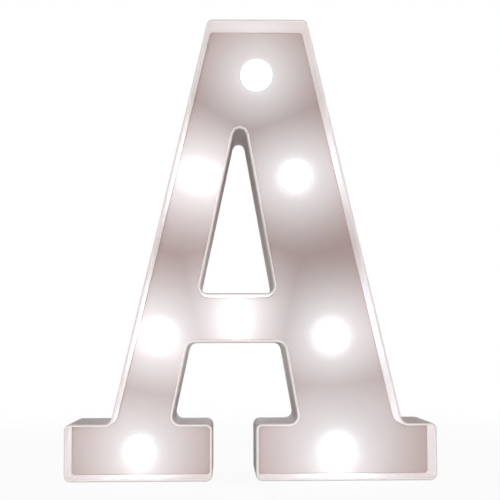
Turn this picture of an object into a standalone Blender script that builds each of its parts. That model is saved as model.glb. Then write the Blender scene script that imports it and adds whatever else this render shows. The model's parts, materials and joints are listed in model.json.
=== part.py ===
"""A battery letter light: a capital A with slab feet, a sunk face and eight lit bulbs.

Metres, +Z up. The letter stands on its feet with its front towards -Y, and the origin is
under the middle of the letter, at the level of the feet.
"""

import math

import bmesh
import bpy
from mathutils import Matrix, Vector

# The whole letter
LETTER_HEIGHT = 0.2200
LETTER_WIDTH = 0.1746
LETTER_DEPTH = 0.0450
TOP_WIDTH = 0.0478
TOP_OFFSET = 0.0036

# Feet, the gap between them, and the ledges at their outer ends
FOOT_HEIGHT = 0.0267
FOOT_GAP = 0.0202
FOOT_GAP_OFFSET = -0.0079
LEFT_LEDGE = 0.0214
RIGHT_LEDGE = 0.0161

# Strokes, counter and crossbar. The inner edges of the legs would meet at the peak.
THIN_STROKE = 0.0285
THICK_STROKE = 0.0489
PEAK_DROP = 0.0402
PEAK_OFFSET = -0.0047
CROSSBAR_THICKNESS = 0.0234
CROSSBAR_HEIGHT_SHARE = 0.2927

# Rounding of the outline. An arc takes less than half of the side it ends on.
CORNER_RADIUS = 0.0031
FILLET_RADIUS = 0.0035
COUNTER_RADIUS = 0.0031
ARC_SIDE_SHARE = 0.48

# Walls, and the depth from the sunk face to the back
WALL = 0.0013
BODY_DEPTH = 0.0262
FACE_THICKNESS = 0.0018
COVER_THICKNESS = 0.0022

# The gap between pieces that touch, and how far a cutter runs past what it cuts
CLEARANCE = 0.0003
OVERRUN = 0.0010

# Places of the bulbs
TOP_BULB_DROP = 0.0232
UPPER_BULB_HEIGHT_SHARE = 0.6659
LOWER_BULB_DROP = 0.0083
LOWER_BULB_OUTSET = 0.0013
FOOT_BULB_HEIGHT = 0.0126
LEFT_FOOT_BULB_OFFSET = -0.00165
RIGHT_FOOT_BULB_OFFSET = -0.00435

# Bulb caps
BULB_RADIUS = 0.0080
BULB_STEM = 0.0015
BULB_DOME = 0.0070
CAP_WALL = 0.0013
FLANGE_WIDTH = 0.0010
FLANGE_THICKNESS = 0.0012
COLLAR_WALL = 0.0014
COLLAR_LENGTH = 0.0010

# Light-emitting diodes
LED_RADIUS = 0.0025
LED_FLANGE_RADIUS = 0.0029
LED_FLANGE_THICKNESS = 0.0010
LED_LENGTH = 0.0086
LEAD_THICKNESS = 0.0005
LEAD_LENGTH = 0.0040
LEAD_PITCH = 0.00254

# Wires between the diodes
WIRE_RADIUS = 0.0006
WIRE_STEP = 0.0020
WIRE_REACH = 0.0140

# Screws and the posts they hold in
POST_RADIUS = 0.0032
POST_BORE_DEPTH = 0.0090
CUP_DEPTH = 0.0020
CUP_FLOOR = 0.0012
SCREW_RADIUS = 0.0011
SCREW_LENGTH = 0.0080
SCREW_TIP = 0.0012
SCREW_HEAD_RADIUS = 0.0025
SCREW_HEAD_HEIGHT = 0.0012
SCREW_SLOT_WIDTH = 0.0006
SCREW_SLOT_LENGTH = 0.0030
SCREW_SLOT_DEPTH = 0.0007

# Places of the posts
TOP_POST_DROP = 0.0080
LEFT_POST_OFFSET = 0.0075
RIGHT_POST_INSET = 0.0062
RIGHT_POST_RISE = 0.0107
FOOT_POST_INSET = 0.0064

# Hanging keyhole
KEYHOLE_DROP = 0.0345
KEYHOLE_RADIUS = 0.0043
KEYHOLE_SLOT_WIDTH = 0.0039
KEYHOLE_SLOT_RISE = 0.0080

# Cells, contacts and the well that holds them
CELL_RADIUS = 0.0071
CELL_LENGTH = 0.0500
CELL_NUB_RADIUS = 0.0027
CELL_NUB_HEIGHT = 0.0012
CELL_EDGE = 0.0006
PLATE_THICKNESS = 0.0004
PLATE_WIDTH = 0.0090
PLATE_HEIGHT = 0.0117
TAB_WIDTH = 0.0024
TAB_THICKNESS = 0.0006
TAB_REACH = 0.0030
SPRING_LENGTH = 0.0050
SPRING_WIRE_RADIUS = 0.00035
SPRING_BASE_RADIUS = 0.0039
SPRING_TIP_RADIUS = 0.0022
SPRING_TURNS = 3.5
WELL_WALL = 0.0020
WELL_FLOOR = 0.0015

# Battery door
DOOR_THICKNESS = 0.0018
DOOR_LEDGE = 0.0012
HOOK_WIDTH = 0.0018
HOOK_THICKNESS = 0.0012
HOOK_REACH = 0.0018
HOOK_ROOT = 0.0020
HOOK_MARGIN = 0.0005
TONGUE_WIDTH = 0.0080
TONGUE_THICKNESS = 0.0007
TONGUE_DEPTH = 0.0041
GRIP_RADIUS = 0.0060
GRIP_DEPTH = 0.0012
RIDGE_COUNT = 4
RIDGE_PITCH = 0.0024
RIDGE_WIDTH = 0.0008
RIDGE_LENGTH = 0.0120
RIDGE_DEPTH = 0.0004
RIDGE_INSET = 0.0080

# Slide switch
SWITCH_HEIGHT = 0.0440
SWITCH_TRAVEL = 0.0030
SWITCH_BODY_LENGTH = 0.0105
SWITCH_BODY_WIDTH = 0.0056
SWITCH_BODY_DEPTH = 0.0050
SWITCH_WALL = 0.0006
SWITCH_FLANGE_LENGTH = 0.0205
SWITCH_FLANGE_THICKNESS = 0.0005
SWITCH_SCREW_SPACING = 0.0150
SWITCH_SCREW_RADIUS = 0.0009
SWITCH_SCREW_LENGTH = 0.0040
SWITCH_SCREW_HEAD_RADIUS = 0.0017
SWITCH_SCREW_HEAD_HEIGHT = 0.0008
SWITCH_PIN_WIDTH = 0.0006
SWITCH_PIN_LENGTH = 0.0034
SWITCH_PIN_PITCH = 0.0030
KNOB_LENGTH = 0.0026
KNOB_WIDTH = 0.0026
KNOB_BASE_LENGTH = 0.0046
KNOB_BASE_THICKNESS = 0.0014
KNOB_SHY = 0.0002
POCKET_LENGTH = 0.0100
POCKET_WIDTH = 0.0072
POCKET_DEPTH = 0.0010

# How finely round forms are drawn
ARC_STEPS = 4
TIP_STEPS = 3
ROUND_SEGMENTS = 20
POST_SEGMENTS = 12
SMALL_SEGMENTS = 12
WIRE_POINTS = 8
COIL_POINTS_PER_TURN = 9
SMOOTH_ANGLE = math.radians(32)
MERGE_DISTANCE = 0.00001

# Depths, from the front plane at -Y to the back plane at +Y
FRONT = -LETTER_DEPTH / 2
BACK = LETTER_DEPTH / 2
FACE_FRONT = BACK - BODY_DEPTH
FACE_BACK = FACE_FRONT + FACE_THICKNESS
COVER_INSIDE = BACK - COVER_THICKNESS
CUP_INSIDE = BACK - CUP_DEPTH - CUP_FLOOR
POST_END = CUP_INSIDE - CLEARANCE
TOWARDS_FRONT = Matrix.Rotation(math.pi / 2, 4, "X")
TOWARDS_BACK = Matrix.Rotation(-math.pi / 2, 4, "X")
UPSIDE_DOWN = Matrix.Rotation(math.pi, 4, "X")

COLOURS = {
    "shell_white": ((0.80, 0.77, 0.76), 0.42, 0.0),
    "back_white": ((0.78, 0.76, 0.75), 0.50, 0.0),
    "milky": ((0.95, 0.94, 0.90), 0.30, 0.0),
    "diode": ((0.92, 0.90, 0.70), 0.15, 0.0),
    "zinc": ((0.72, 0.73, 0.75), 0.30, 1.0),
    "spring_steel": ((0.66, 0.67, 0.69), 0.25, 1.0),
    "cell_sleeve": ((0.10, 0.28, 0.36), 0.35, 0.0),
    "switch_shell": ((0.60, 0.61, 0.63), 0.35, 1.0),
    "knob_black": ((0.05, 0.05, 0.055), 0.45, 0.0),
    "wire_red": ((0.62, 0.05, 0.04), 0.45, 0.0),
    "wire_black": ((0.03, 0.03, 0.035), 0.45, 0.0),
}


# Tools for making and joining shapes


def make_material(name):
    """A plain surface with the colour, roughness and metallic value of its name."""
    colour, roughness, metallic = COLOURS[name]
    material = bpy.data.materials.new(name)
    material.use_nodes = True
    surface = material.node_tree.nodes["Principled BSDF"]
    surface.inputs["Base Color"].default_value = (*colour, 1.0)
    surface.inputs["Roughness"].default_value = roughness
    surface.inputs["Metallic"].default_value = metallic
    return material


def place(name, mesh, matrix=None):
    """A new object of the mesh, standing where the matrix says."""
    thing = bpy.data.objects.new(name, mesh)
    if matrix is not None:
        thing.matrix_world = matrix
    bpy.context.scene.collection.objects.link(thing)
    return thing


def mesh_of(name, bm):
    """Close a bmesh and keep it as a mesh."""
    mesh = bpy.data.meshes.new(name)
    bm.to_mesh(mesh)
    bm.free()
    return mesh


def baked(thing, name):
    """The object's mesh with its modifiers applied; the object itself is removed."""
    bpy.context.view_layer.update()
    evaluated = thing.evaluated_get(bpy.context.evaluated_depsgraph_get())
    mesh = bpy.data.meshes.new_from_object(evaluated)
    mesh.name = name
    bpy.data.objects.remove(thing)
    return mesh


def set_origin(thing, matrix):
    """Move an object's origin to the matrix while its shape stays where it is."""
    thing.data.transform(matrix.inverted() @ thing.matrix_world)
    thing.matrix_world = matrix


def boxes(name, blocks, frame=None):
    """One mesh of boxes, each from its low to its high corner in the frame's own axes."""
    bm = bmesh.new()
    for low, high in blocks:
        low, high = Vector(low), Vector(high)
        shape = Matrix.Translation((low + high) / 2) @ Matrix.Diagonal((*(high - low), 1.0))
        bmesh.ops.create_cube(bm, size=1.0, matrix=shape)
    thing = place(name, mesh_of(name, bm))
    if frame is not None:
        thing.data.transform(frame)
    return thing


def rods(name, places, radius, front, back, segments=ROUND_SEGMENTS):
    """One mesh of rods along Y, one at each place (x, z) of the letter."""
    bm = bmesh.new()
    for x, z in places:
        shape = Matrix.Translation((x, (front + back) / 2, z)) @ TOWARDS_FRONT
        bmesh.ops.create_cone(bm, cap_ends=True, segments=segments, radius1=radius,
                              radius2=radius, depth=back - front, matrix=shape)
    return place(name, mesh_of(name, bm))


def turned(name, profile, segments):
    """A profile of (radius, height) turned round Z, its outer side drawn from the top down."""
    bm = bmesh.new()
    corners = [bm.verts.new((radius, 0.0, height)) for radius, height in profile]
    for first, second in zip(corners, corners[1:]):
        bm.edges.new((first, second))
    thing = place(name, mesh_of(name, bm))
    screw = thing.modifiers.new("Turn", "SCREW")
    screw.steps = segments
    screw.render_steps = segments
    screw.use_merge_vertices = True
    screw.merge_threshold = MERGE_DISTANCE
    return thing


def slab(name, outlines, front, back):
    """A flat solid between two depths, from an outline and any holes in it."""
    curve = bpy.data.curves.new(name, "CURVE")
    curve.dimensions = "2D"
    curve.fill_mode = "BOTH"
    curve.extrude = (back - front) / 2
    for outline in outlines:
        spline = curve.splines.new("POLY")
        spline.points.add(len(outline) - 1)
        for point, (x, z) in zip(spline.points, outline):
            point.co = (x, z, 0.0, 1.0)
        spline.use_cyclic_u = True
    middle = Matrix.Translation((0.0, (front + back) / 2, 0.0))
    return curve_to_mesh(name, curve, middle @ TOWARDS_FRONT)


def tube(name, points, radius, resolution=2):
    """A round wire through the points, with closed ends."""
    curve = bpy.data.curves.new(name, "CURVE")
    curve.dimensions = "3D"
    curve.bevel_depth = radius
    curve.bevel_resolution = resolution
    curve.use_fill_caps = True
    spline = curve.splines.new("POLY")
    spline.points.add(len(points) - 1)
    for point, co in zip(spline.points, points):
        point.co = (*co, 1.0)
    return curve_to_mesh(name, curve, Matrix())


def curve_to_mesh(name, curve, matrix):
    """A curve made a closed mesh object, its caps welded to its sides."""
    guide = place(name, curve, matrix)
    mesh = baked(guide, name)
    bm = bmesh.new()
    bm.from_mesh(mesh)
    bmesh.ops.remove_doubles(bm, verts=bm.verts, dist=MERGE_DISTANCE)
    bmesh.ops.recalc_face_normals(bm, faces=bm.faces)
    bm.to_mesh(mesh)
    bm.free()
    bpy.data.curves.remove(curve)
    return place(name, mesh, matrix)


def shape_with(thing, tool, operation):
    """Cut the thing with the tool, or join the tool to it."""
    boolean = thing.modifiers.new(tool.name, "BOOLEAN")
    boolean.operation = operation
    boolean.solver = "EXACT"
    boolean.object = tool
    tool.hide_render = True
    tool.display_type = "WIRE"
    for home in tool.users_collection:
        home.objects.unlink(tool)
    cutters.objects.link(tool)


def cut(thing, *tools):
    for tool in tools:
        shape_with(thing, tool, "DIFFERENCE")


def join(thing, *tools):
    for tool in tools:
        shape_with(thing, tool, "UNION")


def finish(thing, material, parent=None):
    """Give a finished piece its material and its place in the collection of parts."""
    thing.data.materials.clear()
    thing.data.materials.append(material)
    thing.data.shade_smooth()
    thing.data.set_sharp_from_angle(angle=SMOOTH_ANGLE)
    for home in thing.users_collection:
        home.objects.unlink(thing)
    parts.objects.link(thing)
    if parent is not None:
        thing.parent = parent
        thing.matrix_parent_inverse = parent.matrix_world.inverted()
    return thing


# The flat outline of the letter


def across(low, high, height):
    """Where the straight line through two points (x, z) stands at a height."""
    return low[0] + (high[0] - low[0]) * (height - low[1]) / (high[1] - low[1])


LEFT_END = -LETTER_WIDTH / 2
RIGHT_END = LETTER_WIDTH / 2
LEFT_TOE = FOOT_GAP_OFFSET - FOOT_GAP / 2
RIGHT_TOE = FOOT_GAP_OFFSET + FOOT_GAP / 2
OUTER_LEFT = ((LEFT_END + LEFT_LEDGE, FOOT_HEIGHT), (TOP_OFFSET - TOP_WIDTH / 2, LETTER_HEIGHT))
OUTER_RIGHT = ((RIGHT_END - RIGHT_LEDGE, FOOT_HEIGHT), (TOP_OFFSET + TOP_WIDTH / 2, LETTER_HEIGHT))
PEAK = (PEAK_OFFSET, LETTER_HEIGHT - PEAK_DROP)
INNER_LEFT = ((OUTER_LEFT[0][0] + THIN_STROKE, FOOT_HEIGHT), PEAK)
INNER_RIGHT = ((OUTER_RIGHT[0][0] - THICK_STROKE, FOOT_HEIGHT), PEAK)
CROSSBAR_BOTTOM = CROSSBAR_HEIGHT_SHARE * LETTER_HEIGHT
CROSSBAR_TOP = CROSSBAR_BOTTOM + CROSSBAR_THICKNESS
CROSSBAR_MIDDLE = (CROSSBAR_BOTTOM + CROSSBAR_TOP) / 2


def stroke_middle(outer, inner, height):
    """The middle of a leg at a height."""
    return (across(*outer, height) + across(*inner, height)) / 2


def outer_corners():
    """The corners (x, z, radius) of the letter, anticlockwise from the front."""
    return [
        (LEFT_END, 0.0, CORNER_RADIUS),
        (LEFT_TOE, 0.0, CORNER_RADIUS),
        (LEFT_TOE, FOOT_HEIGHT, CORNER_RADIUS),
        (*INNER_LEFT[0], FILLET_RADIUS),
        (across(*INNER_LEFT, CROSSBAR_BOTTOM), CROSSBAR_BOTTOM, FILLET_RADIUS),
        (across(*INNER_RIGHT, CROSSBAR_BOTTOM), CROSSBAR_BOTTOM, FILLET_RADIUS),
        (*INNER_RIGHT[0], FILLET_RADIUS),
        (RIGHT_TOE, FOOT_HEIGHT, CORNER_RADIUS),
        (RIGHT_TOE, 0.0, CORNER_RADIUS),
        (RIGHT_END, 0.0, CORNER_RADIUS),
        (RIGHT_END, FOOT_HEIGHT, CORNER_RADIUS),
        (*OUTER_RIGHT[0], FILLET_RADIUS),
        (*OUTER_RIGHT[1], CORNER_RADIUS),
        (*OUTER_LEFT[1], CORNER_RADIUS),
        (*OUTER_LEFT[0], FILLET_RADIUS),
        (LEFT_END, FOOT_HEIGHT, CORNER_RADIUS),
    ]


def counter_corners():
    """The corners of the triangular counter, anticlockwise from the front."""
    return [
        (across(*INNER_LEFT, CROSSBAR_TOP), CROSSBAR_TOP, COUNTER_RADIUS),
        (across(*INNER_RIGHT, CROSSBAR_TOP), CROSSBAR_TOP, COUNTER_RADIUS),
        (*PEAK, COUNTER_RADIUS),
    ]


def rounded(corners, inset=0.0):
    """The outline through the corners, every side moved inwards and every corner an arc."""
    points = []
    for index, (x, z, radius) in enumerate(corners):
        here = Vector((x, z))
        before = here - Vector(corners[index - 1][:2])
        after = Vector(corners[(index + 1) % len(corners)][:2]) - here
        lengths = (before.length, after.length)
        before, after = before.normalized(), after.normalized()
        sides = [Vector((-way.y, way.x)) for way in (before, after)]
        corner = here + inset * (sides[0] + sides[1]) / (1.0 + sides[0].dot(sides[1]))
        turn = math.atan2(before.x * after.y - before.y * after.x, before.dot(after))
        room = ARC_SIDE_SHARE * min(lengths) / math.tan(abs(turn) / 2)
        bend = 1.0 if turn > 0.0 else -1.0
        arc = max(min(radius, room) - bend * inset, 0.0)
        start = corner - before * arc * math.tan(abs(turn) / 2)
        centre = start + bend * arc * sides[0]
        for step in range(ARC_STEPS + 1):
            angle = turn * step / ARC_STEPS
            spoke = start - centre
            swung = Vector((spoke.x * math.cos(angle) - spoke.y * math.sin(angle),
                            spoke.x * math.sin(angle) + spoke.y * math.cos(angle)))
            points.append(tuple(centre + swung))
    return points


# Places that several pieces share

UPPER_BULB_HEIGHT = UPPER_BULB_HEIGHT_SHARE * LETTER_HEIGHT
LOWER_BULB_HEIGHT = CROSSBAR_MIDDLE - LOWER_BULB_DROP


def bulb_places():
    """The eight bulbs (x, z): the top, the upper and lower pairs, the crossbar and the feet."""
    upper, lower = UPPER_BULB_HEIGHT, LOWER_BULB_HEIGHT
    crossbar = (across(*INNER_LEFT, CROSSBAR_MIDDLE) + across(*INNER_RIGHT, CROSSBAR_MIDDLE)) / 2
    return {
        "top": (TOP_OFFSET, LETTER_HEIGHT - TOP_BULB_DROP),
        "upper_left": (stroke_middle(OUTER_LEFT, INNER_LEFT, upper), upper),
        "upper_right": (stroke_middle(OUTER_RIGHT, INNER_RIGHT, upper), upper),
        "lower_left": (stroke_middle(OUTER_LEFT, INNER_LEFT, lower) - LOWER_BULB_OUTSET, lower),
        "lower_right": (stroke_middle(OUTER_RIGHT, INNER_RIGHT, lower) + LOWER_BULB_OUTSET, lower),
        "crossbar": (crossbar, CROSSBAR_MIDDLE),
        "left_foot": (stroke_middle(OUTER_LEFT, INNER_LEFT, FOOT_HEIGHT) + LEFT_FOOT_BULB_OFFSET,
                      FOOT_BULB_HEIGHT),
        "right_foot": (stroke_middle(OUTER_RIGHT, INNER_RIGHT, FOOT_HEIGHT) + RIGHT_FOOT_BULB_OFFSET,
                       FOOT_BULB_HEIGHT),
    }


BULBS = bulb_places()


def post_places():
    """The eight posts (x, z) that take the screws of the back."""
    foot_middle = FOOT_HEIGHT / 2
    left_heights = [(UPPER_BULB_HEIGHT + LOWER_BULB_HEIGHT) / 2,
                    (LOWER_BULB_HEIGHT + FOOT_BULB_HEIGHT) / 2]
    left_legs = [(stroke_middle(OUTER_LEFT, INNER_LEFT, height) - LEFT_POST_OFFSET, height)
                 for height in left_heights]
    right_height = UPPER_BULB_HEIGHT + RIGHT_POST_RISE
    return [
        (TOP_OFFSET, LETTER_HEIGHT - TOP_POST_DROP),
        (across(*OUTER_RIGHT, right_height) - RIGHT_POST_INSET, right_height),
        *left_legs,
        (LEFT_END + FOOT_POST_INSET, foot_middle),
        (LEFT_TOE - FOOT_POST_INSET, foot_middle),
        (RIGHT_TOE + FOOT_POST_INSET, foot_middle),
        (RIGHT_END - FOOT_POST_INSET, foot_middle),
    ]


POSTS = post_places()

# The well's own axes: X across the leg, Y to the back, Z up along the leaning leg. The well is
# midway between the two bulbs of the leg.
WELL_LEAN = math.atan(
    (stroke_middle(OUTER_RIGHT, INNER_RIGHT, LOWER_BULB_HEIGHT)
     - stroke_middle(OUTER_RIGHT, INNER_RIGHT, UPPER_BULB_HEIGHT))
    / (UPPER_BULB_HEIGHT - LOWER_BULB_HEIGHT))
WELL_HEIGHT = (UPPER_BULB_HEIGHT + LOWER_BULB_HEIGHT) / 2
WELL_MIDDLE = (stroke_middle(OUTER_RIGHT, INNER_RIGHT, WELL_HEIGHT), 0.0, WELL_HEIGHT)
WELL = Matrix.Translation(WELL_MIDDLE) @ Matrix.Rotation(-WELL_LEAN, 4, "Y")
WELL_HALF_WIDTH = 2 * CELL_RADIUS + 1.5 * CLEARANCE
WELL_HALF_LENGTH = (CELL_LENGTH + SPRING_LENGTH + 2 * PLATE_THICKNESS + 5 * CLEARANCE) / 2
DOOR_INSIDE = BACK - DOOR_THICKNESS
LEDGE_LEVEL = DOOR_INSIDE - CLEARANCE
CELL_LEVEL = LEDGE_LEVEL - CELL_RADIUS
WELL_BOTTOM = CELL_LEVEL - CELL_RADIUS - CLEARANCE
CELL_OFFSET = CELL_RADIUS + CLEARANCE / 2
SEAT_HALF_WIDTH = WELL_HALF_WIDTH + DOOR_LEDGE
SEAT_HALF_LENGTH = WELL_HALF_LENGTH + DOOR_LEDGE
HOOK_OFFSET = WELL_HALF_WIDTH - HOOK_MARGIN - HOOK_WIDTH / 2
HOOK_TOP = COVER_INSIDE - CLEARANCE
HOOK_BOTTOM = HOOK_TOP - HOOK_THICKNESS
PLATE_TOP = WELL_BOTTOM + CLEARANCE + PLATE_HEIGHT
TAB_LEVEL = WELL_BOTTOM + 2 * CLEARANCE

# The switch stands in the middle of the thick leg
SWITCH_MIDDLE = (stroke_middle(OUTER_RIGHT, INNER_RIGHT, SWITCH_HEIGHT), SWITCH_HEIGHT)
SWITCH_SCREWS = [(SWITCH_MIDDLE[0] + side * SWITCH_SCREW_SPACING / 2, SWITCH_HEIGHT)
                 for side in (-1, 1)]
FLANGE_BACK = COVER_INSIDE - CLEARANCE
FLANGE_FRONT = FLANGE_BACK - SWITCH_FLANGE_THICKNESS
WINDOW_LENGTH = KNOB_LENGTH + SWITCH_TRAVEL + 2 * CLEARANCE
WINDOW_WIDTH = KNOB_WIDTH + 2 * CLEARANCE
PIN_END = FLANGE_FRONT - SWITCH_BODY_DEPTH - SWITCH_PIN_LENGTH


# Sub-parts


def make_housing():
    """The moulded letter: walls, sunk face with eight holes, and posts behind the face."""
    outer, counter = outer_corners(), counter_corners()
    housing = slab("letter_housing", [rounded(outer), rounded(outer, WALL)], FRONT, BACK)
    join(housing,
         slab("counter_wall", [rounded(counter, -WALL), rounded(counter)], FRONT, BACK),
         slab("face", [rounded(outer, WALL / 2), rounded(counter, -WALL / 2)], FACE_FRONT, FACE_BACK))
    root = (FACE_FRONT + FACE_BACK) / 2
    join(housing, rods("posts", POSTS, POST_RADIUS, root, POST_END, POST_SEGMENTS))
    bore = SCREW_RADIUS + CLEARANCE
    cut(housing, rods("post_bores", POSTS, bore, POST_END - POST_BORE_DEPTH, POST_END + OVERRUN,
                      POST_SEGMENTS),
        rods("bulb_holes", BULBS.values(), BULB_RADIUS + CLEARANCE, FACE_FRONT - OVERRUN,
             FACE_BACK + OVERRUN))
    return finish(housing, MATERIALS["shell_white"])


def make_cover():
    """The back, inside the walls, moulded with the battery well and the screw cups."""
    play = WALL + CLEARANCE
    outlines = [rounded(outer_corners(), play), rounded(counter_corners(), -play)]
    cover = slab("back_cover", outlines, COVER_INSIDE, BACK)
    width, length = WELL_HALF_WIDTH, WELL_HALF_LENGTH
    seat_width, seat_length = SEAT_HALF_WIDTH, SEAT_HALF_LENGTH
    over_width, over_length = width + WELL_WALL, length + WELL_WALL
    join(cover, boxes("well_shell", [((-over_width, WELL_BOTTOM - WELL_FLOOR, -over_length),
                                      (over_width, BACK - DOOR_THICKNESS, over_length))], WELL),
         rods("cups", POSTS, POST_RADIUS, CUP_INSIDE, BACK - COVER_THICKNESS / 2, POST_SEGMENTS))
    cut(cover, boxes("well_hollow", [((-width, WELL_BOTTOM, -length),
                                      (width, BACK + OVERRUN, length))], WELL),
        boxes("door_seat", [((-seat_width, LEDGE_LEVEL, -seat_length),
                             (seat_width, BACK + OVERRUN, seat_length))], WELL))
    cut(cover, *well_notches(), finger_grip(), *screw_holes(), *keyhole(), *switch_holes())
    return finish(cover, MATERIALS["back_white"])


def well_notches():
    """Notches in the well's end walls for the door's hooks and tongue and the contact tabs."""
    length = WELL_HALF_LENGTH
    hooks, arm_ways, tabs = [], [], []
    half_way = HOOK_WIDTH / 2 + CLEARANCE
    half_notch = half_way + CLEARANCE
    swing = BACK - math.hypot(CLEARANCE + HOOK_REACH, BACK - HOOK_BOTTOM) - CLEARANCE
    for side in (-1, 1):
        middle = side * HOOK_OFFSET
        hooks.append(((middle - half_notch, swing, -length - WELL_WALL - OVERRUN),
                      (middle + half_notch, COVER_INSIDE + CLEARANCE / 2, -length + OVERRUN)))
        arm_ways.append(((middle - half_way, swing + CLEARANCE, -SEAT_HALF_LENGTH - CLEARANCE / 2),
                         (middle + half_way, BACK + 2 * OVERRUN, -length + OVERRUN)))
        tab = TAB_WIDTH / 2 + CLEARANCE
        middle = side * CELL_OFFSET
        tabs.append(((middle - tab, TAB_LEVEL - CLEARANCE, -length - WELL_WALL - OVERRUN),
                     (middle + tab, TAB_LEVEL + TAB_THICKNESS + CLEARANCE, -length + OVERRUN)))
    tongue = TONGUE_WIDTH / 2 + CLEARANCE
    tongue_way = ((-tongue, DOOR_INSIDE - TONGUE_DEPTH - CLEARANCE, length - OVERRUN),
                  (tongue, BACK + 2 * OVERRUN, SEAT_HALF_LENGTH + CLEARANCE))
    return [boxes("hook_notches", hooks, WELL), boxes("arm_ways", arm_ways, WELL),
            boxes("tab_slots", tabs, WELL), boxes("tongue_notch", [tongue_way], WELL)]


def finger_grip():
    """A half-round scoop beyond the upper end of the door, for a fingertip."""
    x, _, z = WELL @ Vector((0.0, 0.0, SEAT_HALF_LENGTH))
    return rods("finger_grip", [(x, z)], GRIP_RADIUS, BACK - GRIP_DEPTH, BACK + OVERRUN)


def screw_holes():
    """A cup and a hole in the cover for each screw."""
    cup = SCREW_HEAD_RADIUS + CLEARANCE
    hole = SCREW_RADIUS + CLEARANCE
    return [rods("cup_hollows", POSTS, cup, BACK - CUP_DEPTH, BACK + OVERRUN, POST_SEGMENTS),
            rods("screw_holes", POSTS, hole, CUP_INSIDE - OVERRUN, BACK, POST_SEGMENTS)]


def keyhole():
    """The hole and slot that hang the letter on a wall screw."""
    x, z = TOP_OFFSET, LETTER_HEIGHT - KEYHOLE_DROP
    half = KEYHOLE_SLOT_WIDTH / 2
    low, high = COVER_INSIDE - OVERRUN, BACK + OVERRUN
    return [rods("keyhole_head", [(x, z)], KEYHOLE_RADIUS, low, high),
            boxes("keyhole_slot", [((x - half, low, z), (x + half, high, z + KEYHOLE_SLOT_RISE))])]


def switch_holes():
    """The pocket, window and screw holes of the switch."""
    x, z = SWITCH_MIDDLE
    pocket, window = POCKET_LENGTH / 2, WINDOW_LENGTH / 2
    head = SWITCH_SCREW_HEAD_RADIUS + CLEARANCE
    shank = SWITCH_SCREW_RADIUS + CLEARANCE
    sunk = BACK - SWITCH_SCREW_HEAD_HEIGHT - 2 * CLEARANCE
    return [
        boxes("switch_pocket", [((x - pocket, BACK - POCKET_DEPTH, z - POCKET_WIDTH / 2),
                                 (x + pocket, BACK + OVERRUN, z + POCKET_WIDTH / 2))]),
        boxes("switch_window", [((x - window, COVER_INSIDE - OVERRUN, z - WINDOW_WIDTH / 2),
                                 (x + window, BACK, z + WINDOW_WIDTH / 2))]),
        rods("switch_screw_heads", SWITCH_SCREWS, head, sunk, BACK + OVERRUN, SMALL_SEGMENTS),
        rods("switch_screw_holes", SWITCH_SCREWS, shank, COVER_INSIDE - OVERRUN, BACK, SMALL_SEGMENTS),
    ]


def cap_mesh():
    """A hollow milky dome with a flange behind the face and a collar for the diode."""
    seat = -FACE_THICKNESS - CLEARANCE
    flange_back = seat - FLANGE_THICKNESS
    bore = LED_RADIUS + CLEARANCE
    collar = bore + COLLAR_WALL
    quarter = [math.pi / 2 * step / ARC_STEPS for step in range(ARC_STEPS + 1)]
    hollow = BULB_RADIUS - CAP_WALL
    flange = BULB_RADIUS + FLANGE_WIDTH
    profile = [(BULB_RADIUS * math.sin(a), BULB_STEM + BULB_DOME * math.cos(a)) for a in quarter]
    profile += [(BULB_RADIUS, seat), (flange, seat), (flange, flange_back),
                (collar, flange_back), (collar, flange_back - COLLAR_LENGTH),
                (bore, flange_back - COLLAR_LENGTH), (bore, seat), (hollow, seat)]
    profile += [(hollow * math.sin(a), BULB_STEM + (BULB_DOME - CAP_WALL) * math.cos(a))
                for a in reversed(quarter)]
    return baked(turned("cap_shape", profile, ROUND_SEGMENTS), "bulb_cap")


LED_SEAT = FACE_BACK + CLEARANCE + FLANGE_THICKNESS + COLLAR_LENGTH + CLEARANCE
LEAD_ROOT = LED_SEAT + LED_FLANGE_THICKNESS
WIRE_LEVEL = LEAD_ROOT + CLEARANCE + WIRE_RADIUS


def led_mesh():
    """A round diode with a flange and two square leads; its flange's back is at zero."""
    dome = LED_LENGTH - LED_FLANGE_THICKNESS - LED_RADIUS
    tip = [math.pi / 2 * step / TIP_STEPS for step in range(TIP_STEPS + 1)]
    profile = [(LED_RADIUS * math.sin(a), LED_FLANGE_THICKNESS + dome + LED_RADIUS * math.cos(a))
               for a in tip]
    profile += [(LED_RADIUS, LED_FLANGE_THICKNESS), (LED_FLANGE_RADIUS, LED_FLANGE_THICKNESS),
                (LED_FLANGE_RADIUS, 0.0), (0.0, 0.0)]
    body = turned("led_shape", profile, SMALL_SEGMENTS)
    half = LEAD_THICKNESS / 2
    leads = [((side * LEAD_PITCH / 2 - half, -half, -LEAD_LENGTH),
              (side * LEAD_PITCH / 2 + half, half, LED_FLANGE_THICKNESS / 2)) for side in (-1, 1)]
    join(body, boxes("led_leads", leads))
    return baked(body, "led")


def make_bulbs():
    """A cap through each hole of the face, and a diode in each cap."""
    cap, led = cap_mesh(), led_mesh()
    for number, (name, (x, z)) in enumerate(BULBS.items(), start=1):
        at_face = Matrix.Translation((x, FACE_FRONT, z)) @ TOWARDS_FRONT
        finish(place(f"bulb_cap_{number}", cap, at_face), MATERIALS["milky"])
        at_seat = Matrix.Translation((x, LEAD_ROOT, z)) @ TOWARDS_FRONT
        if name == "crossbar":
            at_seat = at_seat @ Matrix.Rotation(math.pi / 2, 4, "Z")
        finish(place(f"led_{number}", led, at_seat), MATERIALS["diode"])


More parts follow.
